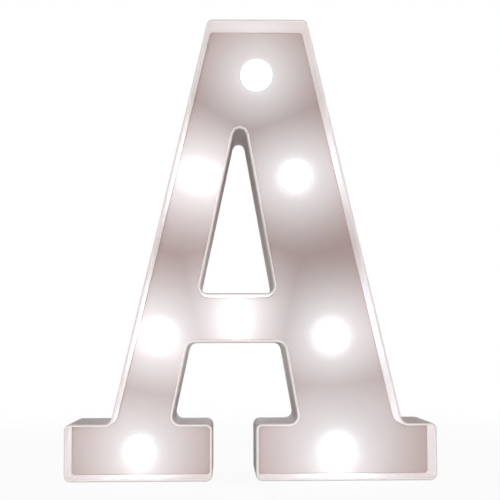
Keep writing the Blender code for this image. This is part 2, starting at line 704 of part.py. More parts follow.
def screw_mesh(name, radius, length, head_radius, head_height):
    """A pan-head screw with a cross slot; its head's underside is at zero."""
    profile = [(0.0, head_height), (head_radius - head_height / 2, head_height),
               (head_radius, head_height / 2), (head_radius, 0.0), (radius, 0.0),
               (radius, SCREW_TIP - length), (0.0, -length)]
    screw = turned(name, profile, SMALL_SEGMENTS)
    half, reach = SCREW_SLOT_WIDTH / 2, SCREW_SLOT_LENGTH * head_radius / SCREW_HEAD_RADIUS / 2
    deep = head_height - SCREW_SLOT_DEPTH * head_height / SCREW_HEAD_HEIGHT
    high = head_height + OVERRUN
    cut(screw, boxes(name + "_slot", [((-reach, -half, deep), (reach, half, high))]),
        boxes(name + "_cross", [((-half, -reach, deep), (half, reach, high))]))
    return baked(screw, name)


def make_screws():
    """Eight screws for the back and two smaller ones for the switch."""
    cover_screw = screw_mesh("cover_screw", SCREW_RADIUS, SCREW_LENGTH, SCREW_HEAD_RADIUS,
                             SCREW_HEAD_HEIGHT)
    level = BACK - CUP_DEPTH + CLEARANCE
    for number, (x, z) in enumerate(POSTS, start=1):
        seat = Matrix.Translation((x, level, z)) @ TOWARDS_BACK
        finish(place(f"cover_screw_{number}", cover_screw, seat), MATERIALS["zinc"])
    switch_screw = screw_mesh("switch_screw", SWITCH_SCREW_RADIUS, SWITCH_SCREW_LENGTH,
                              SWITCH_SCREW_HEAD_RADIUS, SWITCH_SCREW_HEAD_HEIGHT)
    level = BACK - SWITCH_SCREW_HEAD_HEIGHT - CLEARANCE
    for number, (x, z) in enumerate(SWITCH_SCREWS, start=1):
        seat = Matrix.Translation((x, level, z)) @ TOWARDS_BACK
        finish(place(f"switch_screw_{number}", switch_screw, seat), MATERIALS["zinc"])


def make_cells():
    """Two round cells side by side in the well, lying opposite ways."""
    edge = CELL_EDGE
    body = CELL_LENGTH - CELL_NUB_HEIGHT
    profile = [(0.0, CELL_LENGTH), (CELL_NUB_RADIUS, CELL_LENGTH), (CELL_NUB_RADIUS, body),
               (CELL_RADIUS - edge, body), (CELL_RADIUS, body - edge), (CELL_RADIUS, edge),
               (CELL_RADIUS - edge, 0.0), (0.0, 0.0)]
    cell = baked(turned("cell_shape", profile, ROUND_SEGMENTS), "cell")
    start = -WELL_HALF_LENGTH + PLATE_THICKNESS + SPRING_LENGTH + 3 * CLEARANCE
    up = WELL @ Matrix.Translation((-CELL_OFFSET, CELL_LEVEL, start))
    down = WELL @ Matrix.Translation((CELL_OFFSET, CELL_LEVEL, -start)) @ UPSIDE_DOWN
    finish(place("cell_1", cell, up), MATERIALS["cell_sleeve"])
    finish(place("cell_2", cell, down), MATERIALS["cell_sleeve"])


def coil(name, frame):
    """A tapering spring of round wire that stands on its wide end."""
    count = int(SPRING_TURNS * COIL_POINTS_PER_TURN)
    rise = SPRING_LENGTH - 2 * SPRING_WIRE_RADIUS
    points = []
    for index in range(count + 1):
        share = index / count
        angle = 2 * math.pi * SPRING_TURNS * share
        radius = SPRING_BASE_RADIUS + (SPRING_TIP_RADIUS - SPRING_BASE_RADIUS) * share
        radius -= SPRING_WIRE_RADIUS
        points.append(Vector((radius * math.cos(angle), radius * math.sin(angle),
                              SPRING_WIRE_RADIUS + rise * share)))
    apart = [(a - b).length for i, a in enumerate(points)
             for b in points[i + COIL_POINTS_PER_TURN // 2:]]
    print(f"{name}: least gap between turns {1000 * (min(apart) - 2 * SPRING_WIRE_RADIUS):.2f} mm")
    spring = tube(name, points, SPRING_WIRE_RADIUS, resolution=1)
    spring.data.transform(frame)
    return finish(spring, MATERIALS["spring_steel"])


def make_contacts():
    """The plates and springs at the two ends of the well."""
    low, high = -WELL_HALF_LENGTH + CLEARANCE, WELL_HALF_LENGTH - CLEARANCE
    floor = WELL_BOTTOM + CLEARANCE
    half, tab = PLATE_WIDTH / 2, TAB_WIDTH / 2
    for name, side in (("negative_plate", -1), ("positive_plate", 1)):
        middle = side * CELL_OFFSET
        plate = boxes(name, [((middle - half, floor, low),
                              (middle + half, PLATE_TOP, low + PLATE_THICKNESS))], WELL)
        join(plate, boxes(name + "_tab", [
            ((middle - tab, TAB_LEVEL, low - WELL_WALL - TAB_REACH),
             (middle + tab, TAB_LEVEL + TAB_THICKNESS, low + PLATE_THICKNESS / 2))], WELL))
        finish(plate, MATERIALS["zinc"])
    reach = CELL_OFFSET + half
    finish(boxes("bridge_plate", [((-reach, floor, high - PLATE_THICKNESS),
                                   (reach, PLATE_TOP, high))], WELL), MATERIALS["zinc"])
    rest = low + PLATE_THICKNESS + CLEARANCE
    coil("negative_spring", WELL @ Matrix.Translation((-CELL_OFFSET, CELL_LEVEL, rest)))
    coil("bridge_spring", WELL @ Matrix.Translation((CELL_OFFSET, CELL_LEVEL, -rest)) @ UPSIDE_DOWN)


def make_door():
    """The battery door, hinged on the outer edge of its lower end by two hooks."""
    width, length = SEAT_HALF_WIDTH - CLEARANCE, SEAT_HALF_LENGTH - CLEARANCE
    door = boxes("battery_door", [((-width, DOOR_INSIDE, -length), (width, BACK, length))], WELL)
    arms, hooks, ridges = [], [], []
    half_hook = HOOK_WIDTH / 2
    half_arm = half_hook - CLEARANCE / 2
    for side in (-1, 1):
        middle = side * HOOK_OFFSET
        arms.append(((middle - half_arm, HOOK_BOTTOM + HOOK_THICKNESS / 2, -length + CLEARANCE / 2),
                     (middle + half_arm, DOOR_INSIDE + CLEARANCE, -length + HOOK_ROOT)))
        hooks.append(((middle - half_hook, HOOK_BOTTOM, -SEAT_HALF_LENGTH - HOOK_REACH),
                      (middle + half_hook, HOOK_TOP, -length + HOOK_ROOT / 2)))
    tongue_end = length - CLEARANCE
    tongue = ((-TONGUE_WIDTH / 2, DOOR_INSIDE - TONGUE_DEPTH, tongue_end - TONGUE_THICKNESS),
              (TONGUE_WIDTH / 2, DOOR_INSIDE + CLEARANCE, tongue_end))
    join(door, boxes("hook_arms", arms, WELL), boxes("hook_ends", hooks, WELL),
         boxes("tongue", [tongue], WELL))
    for index in range(RIDGE_COUNT):
        middle = length - RIDGE_INSET + RIDGE_PITCH * (index - (RIDGE_COUNT - 1) / 2)
        ridges.append(((-RIDGE_LENGTH / 2, BACK - RIDGE_DEPTH, middle - RIDGE_WIDTH / 2),
                       (RIDGE_LENGTH / 2, BACK + OVERRUN, middle + RIDGE_WIDTH / 2)))
    cut(door, boxes("grip_grooves", ridges, WELL))
    hinge = WELL @ Matrix.Translation((0.0, BACK, -length))
    set_origin(door, hinge)
    return finish(door, MATERIALS["back_white"])


def make_switch():
    """A slide switch screwed behind its window, its knob at the lit end of its travel."""
    x, z = SWITCH_MIDDLE
    half_length, half_width = SWITCH_BODY_LENGTH / 2, SWITCH_BODY_WIDTH / 2
    flange = SWITCH_FLANGE_LENGTH / 2
    bottom = FLANGE_FRONT - SWITCH_BODY_DEPTH
    body = boxes("switch_body", [((x - flange, FLANGE_FRONT, z - half_width),
                                  (x + flange, FLANGE_BACK, z + half_width))])
    pin = SWITCH_PIN_WIDTH / 2
    pins = [((x + way * SWITCH_PIN_PITCH - pin, PIN_END, z - pin),
             (x + way * SWITCH_PIN_PITCH + pin, bottom + SWITCH_WALL / 2, z + pin))
            for way in (-1, 0, 1)]
    join(body, boxes("switch_shell", [((x - half_length, bottom, z - half_width + CLEARANCE),
                                       (x + half_length, FLANGE_FRONT + CLEARANCE,
                                        z + half_width - CLEARANCE))]),
         boxes("switch_pins", pins))
    slider_front = FLANGE_FRONT - CLEARANCE - KNOB_BASE_THICKNESS
    race = (KNOB_BASE_LENGTH + SWITCH_TRAVEL) / 2 + CLEARANCE
    cut(body, boxes("switch_race", [((x - race, slider_front - CLEARANCE, z - WINDOW_WIDTH / 2),
                                     (x + race, FLANGE_FRONT, z + WINDOW_WIDTH / 2))]),
        boxes("switch_mouth", [((x - WINDOW_LENGTH / 2, FLANGE_FRONT - CLEARANCE, z - WINDOW_WIDTH / 2),
                                (x + WINDOW_LENGTH / 2, FLANGE_BACK + OVERRUN, z + WINDOW_WIDTH / 2))]),
        rods("flange_holes", SWITCH_SCREWS, SWITCH_SCREW_RADIUS + CLEARANCE, FLANGE_FRONT - OVERRUN,
             FLANGE_BACK + OVERRUN, SMALL_SEGMENTS))
    finish(body, MATERIALS["switch_shell"])

    lit = x - SWITCH_TRAVEL / 2
    half_base, half_knob, half_high = KNOB_BASE_LENGTH / 2, KNOB_LENGTH / 2, KNOB_WIDTH / 2
    slider = boxes("switch_slider", [((lit - half_base, slider_front, z - half_high),
                                      (lit + half_base, FLANGE_FRONT - CLEARANCE, z + half_high))])
    join(slider, boxes("switch_knob", [((lit - half_knob, slider_front + CLEARANCE, z - half_high),
                                        (lit + half_knob, BACK - KNOB_SHY, z + half_high))]))
    set_origin(slider, Matrix.Translation((lit, BACK, z)))
    finish(slider, MATERIALS["knob_black"])


# Wires


def led_end(name, way, side, level):
    """A wire's end and its direction at a diode: at one side's lead, or for side 0 at the nearer."""
    x, z = BULBS[name]
    step = LEAD_THICKNESS / 2 + CLEARANCE
    lead = side * LEAD_PITCH / 2
    if side == 0:
        step += LEAD_PITCH / 2
    along = Vector((way[0], 0.0, way[1]))
    sideways = Vector((way[1], 0.0, -way[0]))
    middle = Vector((x, WIRE_LEVEL + level * WIRE_STEP, z))
    return middle + along * step + sideways * lead, along


def wire(name, start, end, material, reach=WIRE_REACH):
    """One insulated wire on a smooth path that leaves both ends straight."""
    (first, first_way), (last, last_way) = start, end
    span = min(reach, (last - first).length / 2)
    handles = [first, first + first_way * span, last + last_way * span, last]
    points = []
    for index in range(WIRE_POINTS):
        t = index / (WIRE_POINTS - 1)
        weights = ((1 - t) ** 3, 3 * t * (1 - t) ** 2, 3 * t * t * (1 - t), t ** 3)
        points.append(sum((weight * handle for weight, handle in zip(weights, handles)), Vector()))
    return finish(tube(name, points, WIRE_RADIUS), material)


UP, DOWN, LEFT = (0, 1), (0, -1), (-1, 0)


def make_links():
    """Two wires from each diode to the next, so that all eight light together."""
    links = [
        ("left_foot", UP, 0, "lower_left", DOWN, 0),
        ("lower_left", UP, 0, "upper_left", DOWN, 0),
        ("upper_left", UP, 0, "top", DOWN, 0),
        ("upper_right", UP, 0, "top", DOWN, 1),
        ("lower_right", UP, 0, "upper_right", DOWN, 0),
        ("right_foot", UP, 0, "lower_right", DOWN, 0),
        ("lower_left", UP, 1, "crossbar", LEFT, 0),
    ]
    for number, (first, way, level, last, last_way, last_level) in enumerate(links, start=1):
        turn = way[1] * last_way[0] - way[0] * last_way[1]
        for colour, side in (("black", -1), ("red", 1)):
            start = led_end(first, way, side, level)
            end = led_end(last, last_way, -side, last_level)
            reach = WIRE_REACH + turn * side * LEAD_PITCH / 2
            wire(f"{colour}_link_{number}", start, end, MATERIALS["wire_" + colour], reach)


def make_supply():
    """The wires from the contacts to the switch and on to the lower right diode."""
    down_the_leg = WELL.to_3x3() @ Vector((0.0, 0.0, -1.0))
    end_of_tab = -WELL_HALF_LENGTH - WELL_WALL - TAB_REACH
    level = TAB_LEVEL + TAB_THICKNESS / 2
    tabs = [(WELL @ Vector((side * CELL_OFFSET, level, end_of_tab)), down_the_leg) for side in (-1, 1)]
    x, z = SWITCH_MIDDLE
    pin_level = (PIN_END + FLANGE_FRONT - SWITCH_BODY_DEPTH) / 2
    above_pin = SWITCH_PIN_WIDTH / 2 + CLEARANCE
    pins = [(Vector((x + way * SWITCH_PIN_PITCH, pin_level, z + above_pin)), Vector((0.0, 0.0, 1.0)))
            for way in (0, 1)]
    wire("negative_lead", tabs[0], led_end("lower_right", LEFT, 0, 1), MATERIALS["wire_black"])
    wire("positive_lead", tabs[1], pins[1], MATERIALS["wire_red"])
    wire("switched_lead", pins[0], led_end("lower_right", DOWN, -1, 1), MATERIALS["wire_red"])


# Build

for old in list(bpy.data.objects):
    bpy.data.objects.remove(old)
parts = bpy.data.collections.new("letter_light")
cutters = bpy.data.collections.new("cutters")
bpy.context.scene.collection.children.link(parts)
bpy.context.scene.collection.children.link(cutters)
MATERIALS = {name: make_material(name) for name in COLOURS}

make_housing()
make_cover()
make_bulbs()
make_screws()
make_cells()
make_contacts()
make_door()
make_switch()
make_links()
make_supply()
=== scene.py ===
import json
import math

import bmesh
import bpy
from mathutils import Matrix, Vector

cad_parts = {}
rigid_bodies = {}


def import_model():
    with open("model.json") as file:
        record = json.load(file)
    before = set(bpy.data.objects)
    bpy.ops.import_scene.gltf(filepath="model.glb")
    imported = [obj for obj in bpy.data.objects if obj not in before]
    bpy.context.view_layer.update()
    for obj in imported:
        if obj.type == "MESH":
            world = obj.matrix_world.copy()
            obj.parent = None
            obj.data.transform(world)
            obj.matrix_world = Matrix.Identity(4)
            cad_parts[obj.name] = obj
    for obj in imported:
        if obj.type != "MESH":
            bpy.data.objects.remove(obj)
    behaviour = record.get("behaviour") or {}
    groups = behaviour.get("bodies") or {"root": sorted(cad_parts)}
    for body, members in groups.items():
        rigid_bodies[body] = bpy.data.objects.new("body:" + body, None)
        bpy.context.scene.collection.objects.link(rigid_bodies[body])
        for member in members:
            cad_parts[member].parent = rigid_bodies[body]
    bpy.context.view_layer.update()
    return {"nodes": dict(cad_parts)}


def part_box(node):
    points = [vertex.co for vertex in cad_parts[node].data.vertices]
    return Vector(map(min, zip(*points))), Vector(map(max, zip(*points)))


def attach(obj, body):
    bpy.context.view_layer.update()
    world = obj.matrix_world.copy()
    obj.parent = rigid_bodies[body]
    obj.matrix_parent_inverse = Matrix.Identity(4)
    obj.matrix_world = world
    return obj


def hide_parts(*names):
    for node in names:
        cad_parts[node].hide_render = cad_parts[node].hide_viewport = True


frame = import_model()
nodes = frame["nodes"]


# The camera stands in front of the lower half of the letter, a little to the left of its
# middle, and looks slightly upwards, as in the photograph.
CAMERA_PLACE = Vector((-0.01297, -0.54856, 0.06316))
CAMERA_PAN = -0.0242
CAMERA_TILT = 0.0854
CAMERA_ROLL = 0.0032
CAMERA_LENS = 80.19

bpy.ops.object.camera_add(location=(0.0, 0.0, 0.0))
camera = bpy.context.object
camera.name = "camera"
camera.data.lens = CAMERA_LENS
camera.data.sensor_width = 36.0
camera.data.clip_start = 0.01
camera.matrix_world = (Matrix.Translation(CAMERA_PLACE)
                       @ Matrix.Rotation(CAMERA_PAN, 4, "Z")
                       @ Matrix.Rotation(math.pi / 2 + CAMERA_TILT, 4, "X")
                       @ Matrix.Rotation(-CAMERA_ROLL, 4, "Z"))
bpy.context.scene.camera = camera
bpy.context.scene.view_settings.view_transform = "Standard"


# The studio: a pale floor that keeps the letter's shadow and fades into a white room, and
# lamps in front, behind, to both sides and above, each with its place, size and power.
ROOM_WHITE = (1.0, 1.0, 1.0, 1.0)
ROOM_LIGHT = (1.0, 0.985, 0.975, 1.0)
ROOM_STRENGTH = 0.18
FLOOR_COLOUR = (0.86, 0.85, 0.84, 1.0)
FLOOR_ROUGHNESS = 0.9
FLOOR_SIZE = 8.0
FLOOR_WHITE_SHARE = 0.93
FLOOR_GLOW = 1.0
FLOOR_FADE = (0.16, 0.60)
LAMPS = {
    "front": ((-0.03, -1.15, 0.09), 0.24, 6.8),
    "left": ((-1.20, 0.10, 0.03), 0.28, 10.0),
    "right": ((1.20, 0.10, 0.03), 0.28, 9.0),
    "rear": ((0.0, 2.40, 0.09), 0.36, 42.0),
    "top": ((0.0, 0.01, 0.34), 0.10, 0.042),
}
LAMP_TARGET = Vector((0.0, 0.0, 0.11))


def add_node(tree, kind, **settings):
    """A new node of a material or the world, with its settings."""
    node = tree.nodes.new(kind)
    for name, value in settings.items():
        setattr(node, name, value)
    return node


def white_background(tree):
    """One where the camera, a gloss or clear plastic sees the background, and zero elsewhere."""
    path = add_node(tree, "ShaderNodeLightPath")
    seen = add_node(tree, "ShaderNodeMath", operation="MAXIMUM")
    clear = add_node(tree, "ShaderNodeMath", operation="MAXIMUM")
    tree.links.new(path.outputs["Is Camera Ray"], seen.inputs[0])
    tree.links.new(path.outputs["Is Glossy Ray"], seen.inputs[1])
    tree.links.new(seen.outputs[0], clear.inputs[0])
    tree.links.new(path.outputs["Is Transmission Ray"], clear.inputs[1])
    return clear.outputs[0]


world = bpy.data.worlds.new("white_room")
world.use_nodes = True
bpy.context.scene.world = world
tree = world.node_tree
lit = tree.nodes["Background"]
lit.inputs["Color"].default_value = ROOM_LIGHT
lit.inputs["Strength"].default_value = ROOM_STRENGTH
seen = add_node(tree, "ShaderNodeBackground")
seen.inputs["Color"].default_value = ROOM_WHITE
seen.inputs["Strength"].default_value = 1.0
mix = add_node(tree, "ShaderNodeMixShader")
tree.links.new(white_background(tree), mix.inputs["Fac"])
tree.links.new(lit.outputs[0], mix.inputs[1])
tree.links.new(seen.outputs[0], mix.inputs[2])
tree.links.new(mix.outputs[0], tree.nodes["World Output"].inputs["Surface"])

bpy.ops.object.select_all(action="DESELECT")
bpy.ops.mesh.primitive_plane_add(size=FLOOR_SIZE, location=(0.0, 0.0, 0.0))
floor = bpy.context.object
floor.name = "floor"
paint = bpy.data.materials.new("floor_paper")
paint.use_nodes = True
tree = paint.node_tree
paper = tree.nodes["Principled BSDF"]
paper.inputs["Base Color"].default_value = FLOOR_COLOUR
paper.inputs["Roughness"].default_value = FLOOR_ROUGHNESS
glow = add_node(tree, "ShaderNodeEmission")
glow.inputs["Strength"].default_value = FLOOR_GLOW
away = add_node(tree, "ShaderNodeVectorMath", operation="LENGTH")
fade = add_node(tree, "ShaderNodeMapRange", interpolation_type="SMOOTHSTEP")
fade.inputs["From Min"].default_value, fade.inputs["From Max"].default_value = FLOOR_FADE
fade.inputs["To Min"].default_value = FLOOR_WHITE_SHARE
share = add_node(tree, "ShaderNodeMath", operation="MULTIPLY")
mix = add_node(tree, "ShaderNodeMixShader")
tree.links.new(add_node(tree, "ShaderNodeTexCoord").outputs["Object"], away.inputs[0])
tree.links.new(away.outputs["Value"], fade.inputs["Value"])
tree.links.new(fade.outputs["Result"], share.inputs[0])
tree.links.new(white_background(tree), share.inputs[1])
tree.links.new(share.outputs[0], mix.inputs["Fac"])
tree.links.new(paper.outputs[0], mix.inputs[1])
tree.links.new(glow.outputs[0], mix.inputs[2])
tree.links.new(mix.outputs[0], tree.nodes["Material Output"].inputs["Surface"])
floor.data.materials.append(paint)

for name, (place, size, power) in LAMPS.items():
    bpy.ops.object.light_add(type="AREA", location=place)
    lamp = bpy.context.object
    lamp.name = f"lamp_{name}"
    lamp.data.size = size
    lamp.data.energy = power
    lamp.rotation_euler = (LAMP_TARGET - Vector(place)).to_track_quat("-Z", "Y").to_euler()


# The housing is one white moulding with rounded rims: the outer wall, the wall round the
# counter, and a sunk face with a fine groove round it. The face's grey is painted shade, and the
# groove's darker grey painted shade too. The face, the inner walls and the inner half of the
# rims have painted light round the bulbs, with a little light the plastic carries sideways.
WALL_WHITE = (0.85, 0.785, 0.77)
FACE_PAINTED_SHADE = (0.398, 0.310, 0.296)
GROOVE_PAINTED_SHADE = (0.62, 0.54, 0.52)
FRONT_RIM_ROUNDING = 0.0006
LIT_RIM_STEPS = 5
BACK_RIM_ROUNDING = 0.0003
GROOVE_WIDTH = 0.0003
GROOVE_DEPTH = 0.0004
SPILL_NEAR = 0.006
SPILL_FAR = 0.047
SPILL_PAINTED_LIGHT = (0.338, 0.380, 0.386)
SPILL_PAINTED_LIGHT_ON_WALLS = (0.33, 0.30, 0.29)
SPILL_WALL_FAR = 0.075
SPILL_REACHES = (0.82, 0.99, 0.92, 1.0, 0.94, 1.02, 1.02, 1.22)
DARK = (0.0, 0.0, 0.0, 1.0)
MOTTLE_SCALE = 45.0
MOTTLE_DETAIL = 4.0
GRAIN_DETAIL = 2.0
GRAIN_SPAN = (0.3, 0.7)
GRAIN_GLOSS = 0.05
GRAIN_STRENGTH = 0.6
ON_FACE, IN_GROOVE, LIT = 1, 2, 3
WELD = 0.00001
FLAT = 0.00002
SAME_PLANE = math.radians(1.0)
SMOOTH_FOLD = math.radians(35.0)
SHARP_FOLD = math.radians(50.0)
FACING = 0.9
CAPS = range(1, 9)


def shade(colour, share):
    """A share of a colour, darker below one and lighter above it, with its alpha."""
    return (*[min(channel * share, 1.0) for channel in colour], 1.0)


def moulded_plastic(name, colour, roughness=0.42, shine=0.5, mottle=0.02, grain_size=0.0006,
                    grain_depth=0.00001):
    """Moulded plastic with a faint mottle in its colour and a fine grain in its surface."""
    material = bpy.data.materials.new(name)
    material.use_nodes = True
    tree = material.node_tree
    surface = tree.nodes["Principled BSDF"]
    surface.inputs["Specular IOR Level"].default_value = shine
    place = add_node(tree, "ShaderNodeTexCoord").outputs["Object"]

    cloud = add_node(tree, "ShaderNodeTexNoise")
    cloud.inputs["Scale"].default_value = MOTTLE_SCALE
    cloud.inputs["Detail"].default_value = MOTTLE_DETAIL
    tint = add_node(tree, "ShaderNodeMix", data_type="RGBA")
    tint.inputs["A"].default_value = shade(colour, 1.0 - mottle)
    tint.inputs["B"].default_value = shade(colour, 1.0 + mottle)
    tree.links.new(place, cloud.inputs["Vector"])
    tree.links.new(cloud.outputs["Fac"], tint.inputs["Factor"])
    tree.links.new(tint.outputs["Result"], surface.inputs["Base Color"])

    grain = add_node(tree, "ShaderNodeTexNoise")
    grain.inputs["Scale"].default_value = 1.0 / grain_size
    grain.inputs["Detail"].default_value = GRAIN_DETAIL
    gloss = add_node(tree, "ShaderNodeMapRange")
    gloss.inputs["From Min"].default_value, gloss.inputs["From Max"].default_value = GRAIN_SPAN
    gloss.inputs["To Min"].default_value = roughness - GRAIN_GLOSS
    gloss.inputs["To Max"].default_value = roughness + GRAIN_GLOSS
    bump = add_node(tree, "ShaderNodeBump")
    bump.inputs["Strength"].default_value = GRAIN_STRENGTH
    bump.inputs["Distance"].default_value = grain_depth
    tree.links.new(place, grain.inputs["Vector"])
    tree.links.new(grain.outputs["Fac"], gloss.inputs["Value"])
    tree.links.new(gloss.outputs["Result"], surface.inputs["Roughness"])
    tree.links.new(grain.outputs["Fac"], bump.inputs["Height"])
    tree.links.new(bump.outputs["Normal"], surface.inputs["Normal"])
    return material


def paint_bulb_light(material, lamps, near, far, colour):
    """Painted light round the nearest bulb, partly carried sideways in the plastic, full to
    none.
    """
    tree = material.node_tree
    place = add_node(tree, "ShaderNodeTexCoord").outputs["Object"]
    nearest = None
    for lamp, lamp_reach in zip(lamps, SPILL_REACHES):
        away = add_node(tree, "ShaderNodeVectorMath", operation="DISTANCE")
        away.inputs[1].default_value = lamp
        tree.links.new(place, away.inputs[0])
        scaled = add_node(tree, "ShaderNodeMath", operation="DIVIDE")
        scaled.inputs[1].default_value = lamp_reach
        tree.links.new(away.outputs["Value"], scaled.inputs[0])
        if nearest is None:
            nearest = scaled.outputs[0]
            continue
        lesser = add_node(tree, "ShaderNodeMath", operation="MINIMUM")
        tree.links.new(nearest, lesser.inputs[0])
        tree.links.new(scaled.outputs[0], lesser.inputs[1])
        nearest = lesser.outputs[0]
    fall = add_node(tree, "ShaderNodeMapRange", interpolation_type="SMOOTHSTEP")
    fall.inputs["From Min"].default_value = near
    fall.inputs["From Max"].default_value = far
    fall.inputs["To Min"].default_value = 1.0
    fall.inputs["To Max"].default_value = 0.0
    glow = add_node(tree, "ShaderNodeMix", data_type="RGBA")
    glow.inputs["A"].default_value = DARK
    glow.inputs["B"].default_value = (*colour, 1.0)
    tree.links.new(nearest, fall.inputs["Value"])
    tree.links.new(fall.outputs["Result"], glow.inputs["Factor"])
    surface = tree.nodes["Principled BSDF"]
    tree.links.new(glow.outputs["Result"], surface.inputs["Emission Color"])
    surface.inputs["Emission Strength"].default_value = 1.0


def worked_copy(node, name):
    """A copy of a CAD node's mesh, welded and with its flat faces whole, open in edit mode."""
    bpy.ops.object.select_all(action="DESELECT")
    piece = bpy.data.objects.new(name, nodes[node].data.copy())
    bpy.context.scene.collection.objects.link(piece)
    bpy.context.view_layer.objects.active = piece
    piece.select_set(True)
    piece.data.materials.clear()
    bpy.ops.object.mode_set(mode="EDIT")
    bpy.ops.mesh.select_all(action="SELECT")
    bpy.ops.mesh.remove_doubles(threshold=WELD)
    bpy.ops.mesh.dissolve_limited(angle_limit=SAME_PLANE)
    bpy.ops.mesh.select_all(action="DESELECT")
    return piece


def pick(piece, kind, test):
    """Select the faces or edges of a piece in edit mode that pass a test, and nothing else."""
    bpy.ops.mesh.select_all(action="DESELECT")
    bpy.ops.mesh.select_mode(type="FACE" if kind == "faces" else "EDGE")
    bm = bmesh.from_edit_mesh(piece.data)
    bm.normal_update()
    for element in getattr(bm, kind):
        if test(element):
            element.select_set(True)
    bmesh.update_edit_mesh(piece.data)


def paint_faces(piece, index, test):
    """Give the faces that pass a test, in edit mode, the material with an index."""
    bm = bmesh.from_edit_mesh(piece.data)
    for face in bm.faces:
        if test(face):
            face.material_index = index
    bmesh.update_edit_mesh(piece.data)


def depths(face):
    """The least and the greatest depth of a face's corners."""
    levels = [vert.co.y for vert in face.verts]
    return min(levels), max(levels)


def lies_at(element, level):
    """Whether every corner of a face or edge lies at a depth of the letter."""
    return all(abs(vert.co.y - level) < FLAT for vert in element.verts)


def sharp(edge):
    """Whether an edge folds by more than a sharp edge's least angle."""
    return edge.is_manifold and edge.calc_face_angle() > SHARP_FOLD


def chosen(piece):
    """Make a piece the only selected one, in object mode."""
    if bpy.context.object and bpy.context.object.mode == "EDIT":
        bpy.ops.object.mode_set(mode="OBJECT")
    bpy.ops.object.select_all(action="DESELECT")
    bpy.context.view_layer.objects.active = piece
    piece.select_set(True)


def finished(piece, *materials, slot, body="letter", stands_for=(), flat_sided=False):
    """Shade a piece, give it its materials, and let it ride on a body. Its slot is not used."""
    chosen(piece)
    for material in materials:
        piece.data.materials.append(material)
    bpy.ops.object.shade_smooth_by_angle(angle=SMOOTH_FOLD)
    if flat_sided:
        level = piece.modifiers.new("level", "WEIGHTED_NORMAL")
        level.keep_sharp = True
        bpy.ops.object.modifier_apply(modifier="level")
    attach(piece, body)
    if stands_for:
        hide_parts(*stands_for)


cap_boxes = [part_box(f"bulb_cap_{number}") for number in CAPS]
front_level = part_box("letter_housing")[0].y
back_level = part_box("letter_housing")[1].y

shell = worked_copy("letter_housing", "letter_shell")
pick(shell, "faces", lambda face: face.normal.y < -FACING
     and front_level / 2 < face.calc_center_median().y < 0.0)
face_level = max(vert.co.y for vert in bmesh.from_edit_mesh(shell.data).verts if vert.select)
bpy.ops.mesh.inset(thickness=GROOVE_WIDTH, depth=0.0, use_even_offset=True)
panel = {face.index for face in bmesh.from_edit_mesh(shell.data).faces if face.select}
pick(shell, "faces", lambda face: lies_at(face, face_level) and face.index not in panel
     and any(link.calc_center_median().y < face_level - GROOVE_DEPTH
             for edge in face.edges for link in edge.link_faces))
bpy.ops.mesh.extrude_region_move(TRANSFORM_OT_translate={"value": (0.0, GROOVE_DEPTH, 0.0)})
pick(shell, "edges", lambda edge: lies_at(edge, front_level) and sharp(edge))
bpy.ops.mesh.bevel(offset=FRONT_RIM_ROUNDING, segments=4, clamp_overlap=False)
pick(shell, "edges", lambda edge: lies_at(edge, back_level) and sharp(edge))
bpy.ops.mesh.bevel(offset=BACK_RIM_ROUNDING, segments=2, clamp_overlap=False)
groove_end = face_level + GROOVE_DEPTH + FLAT
# Faces on the face take its painted shade, and faces in the groove a darker painted shade.
paint_faces(shell, ON_FACE, lambda face: lies_at(face, face_level) and face.normal.y < -FACING)
paint_faces(shell, IN_GROOVE, lambda face: not lies_at(face, face_level)
            and face_level - FLAT < depths(face)[0] and depths(face)[1] < groove_end)
# The inner walls, and then the inner half of the rims, take painted light round the bulbs.
paint_faces(shell, LIT, lambda face: depths(face)[0] < face_level - GROOVE_DEPTH - FLAT
            and face_level - FLAT < depths(face)[1] < groove_end)
pick(shell, "faces", lambda face: face.material_index == LIT)
for _ in range(LIT_RIM_STEPS):
    bpy.ops.mesh.select_more()
rim_end = front_level + FRONT_RIM_ROUNDING + FLAT
paint_faces(shell, LIT, lambda face: face.select and depths(face)[1] < rim_end)
housing_white = moulded_plastic("housing_white", WALL_WHITE, roughness=0.75, shine=0.01)
# The inner walls and rims take this white with painted light round the bulbs.
wall_painted_light = moulded_plastic("wall_painted_light", WALL_WHITE, roughness=0.75, shine=0.03)
# The face's grey is painted shade, and its glow round the bulbs is painted light.
face_painted_shade_and_light = moulded_plastic("sunk_face_painted_shade_and_light", FACE_PAINTED_SHADE, roughness=0.65, shine=0.3, mottle=0.03)
lamp_places = [Vector(((low.x + high.x) / 2, face_level, (low.z + high.z) / 2))
               for low, high in cap_boxes]
paint_bulb_light(face_painted_shade_and_light, lamp_places, SPILL_NEAR, SPILL_FAR, SPILL_PAINTED_LIGHT)
paint_bulb_light(wall_painted_light, lamp_places, SPILL_NEAR, SPILL_WALL_FAR, SPILL_PAINTED_LIGHT_ON_WALLS)
# The groove's darker grey is painted shade.
groove_shade = moulded_plastic("groove_shade", GROOVE_PAINTED_SHADE, roughness=0.9, shine=0.1,
                               mottle=0.05)
finished(shell, housing_white, face_painted_shade_and_light, groove_shade, wall_painted_light, slot="shell",
         stands_for=["letter_housing"], flat_sided=True)


# Eight milky caps stand through holes in the face. Each is a thin dome on a short stem, held by
# a flange behind the face, and its diode fills it with light, brightest at the crown.
CAP_STEM = 0.0015
CAP_WALL = 0.0012
CAP_FLANGE = 0.0010
CAP_SEAT = 0.0021
CAP_MILK = (0.95, 0.93, 0.90)
CAP_GLOW = (0.62, 0.83, 1.0)
CAP_STRENGTHS = (6.5, 20.0, 19.0, 21.0, 24.0, 17.0, 14.5, 25.0)
CAP_EDGE_SHARE = 0.18
CAP_REAR_GLOW = (0.004, 0.004, 0.004)


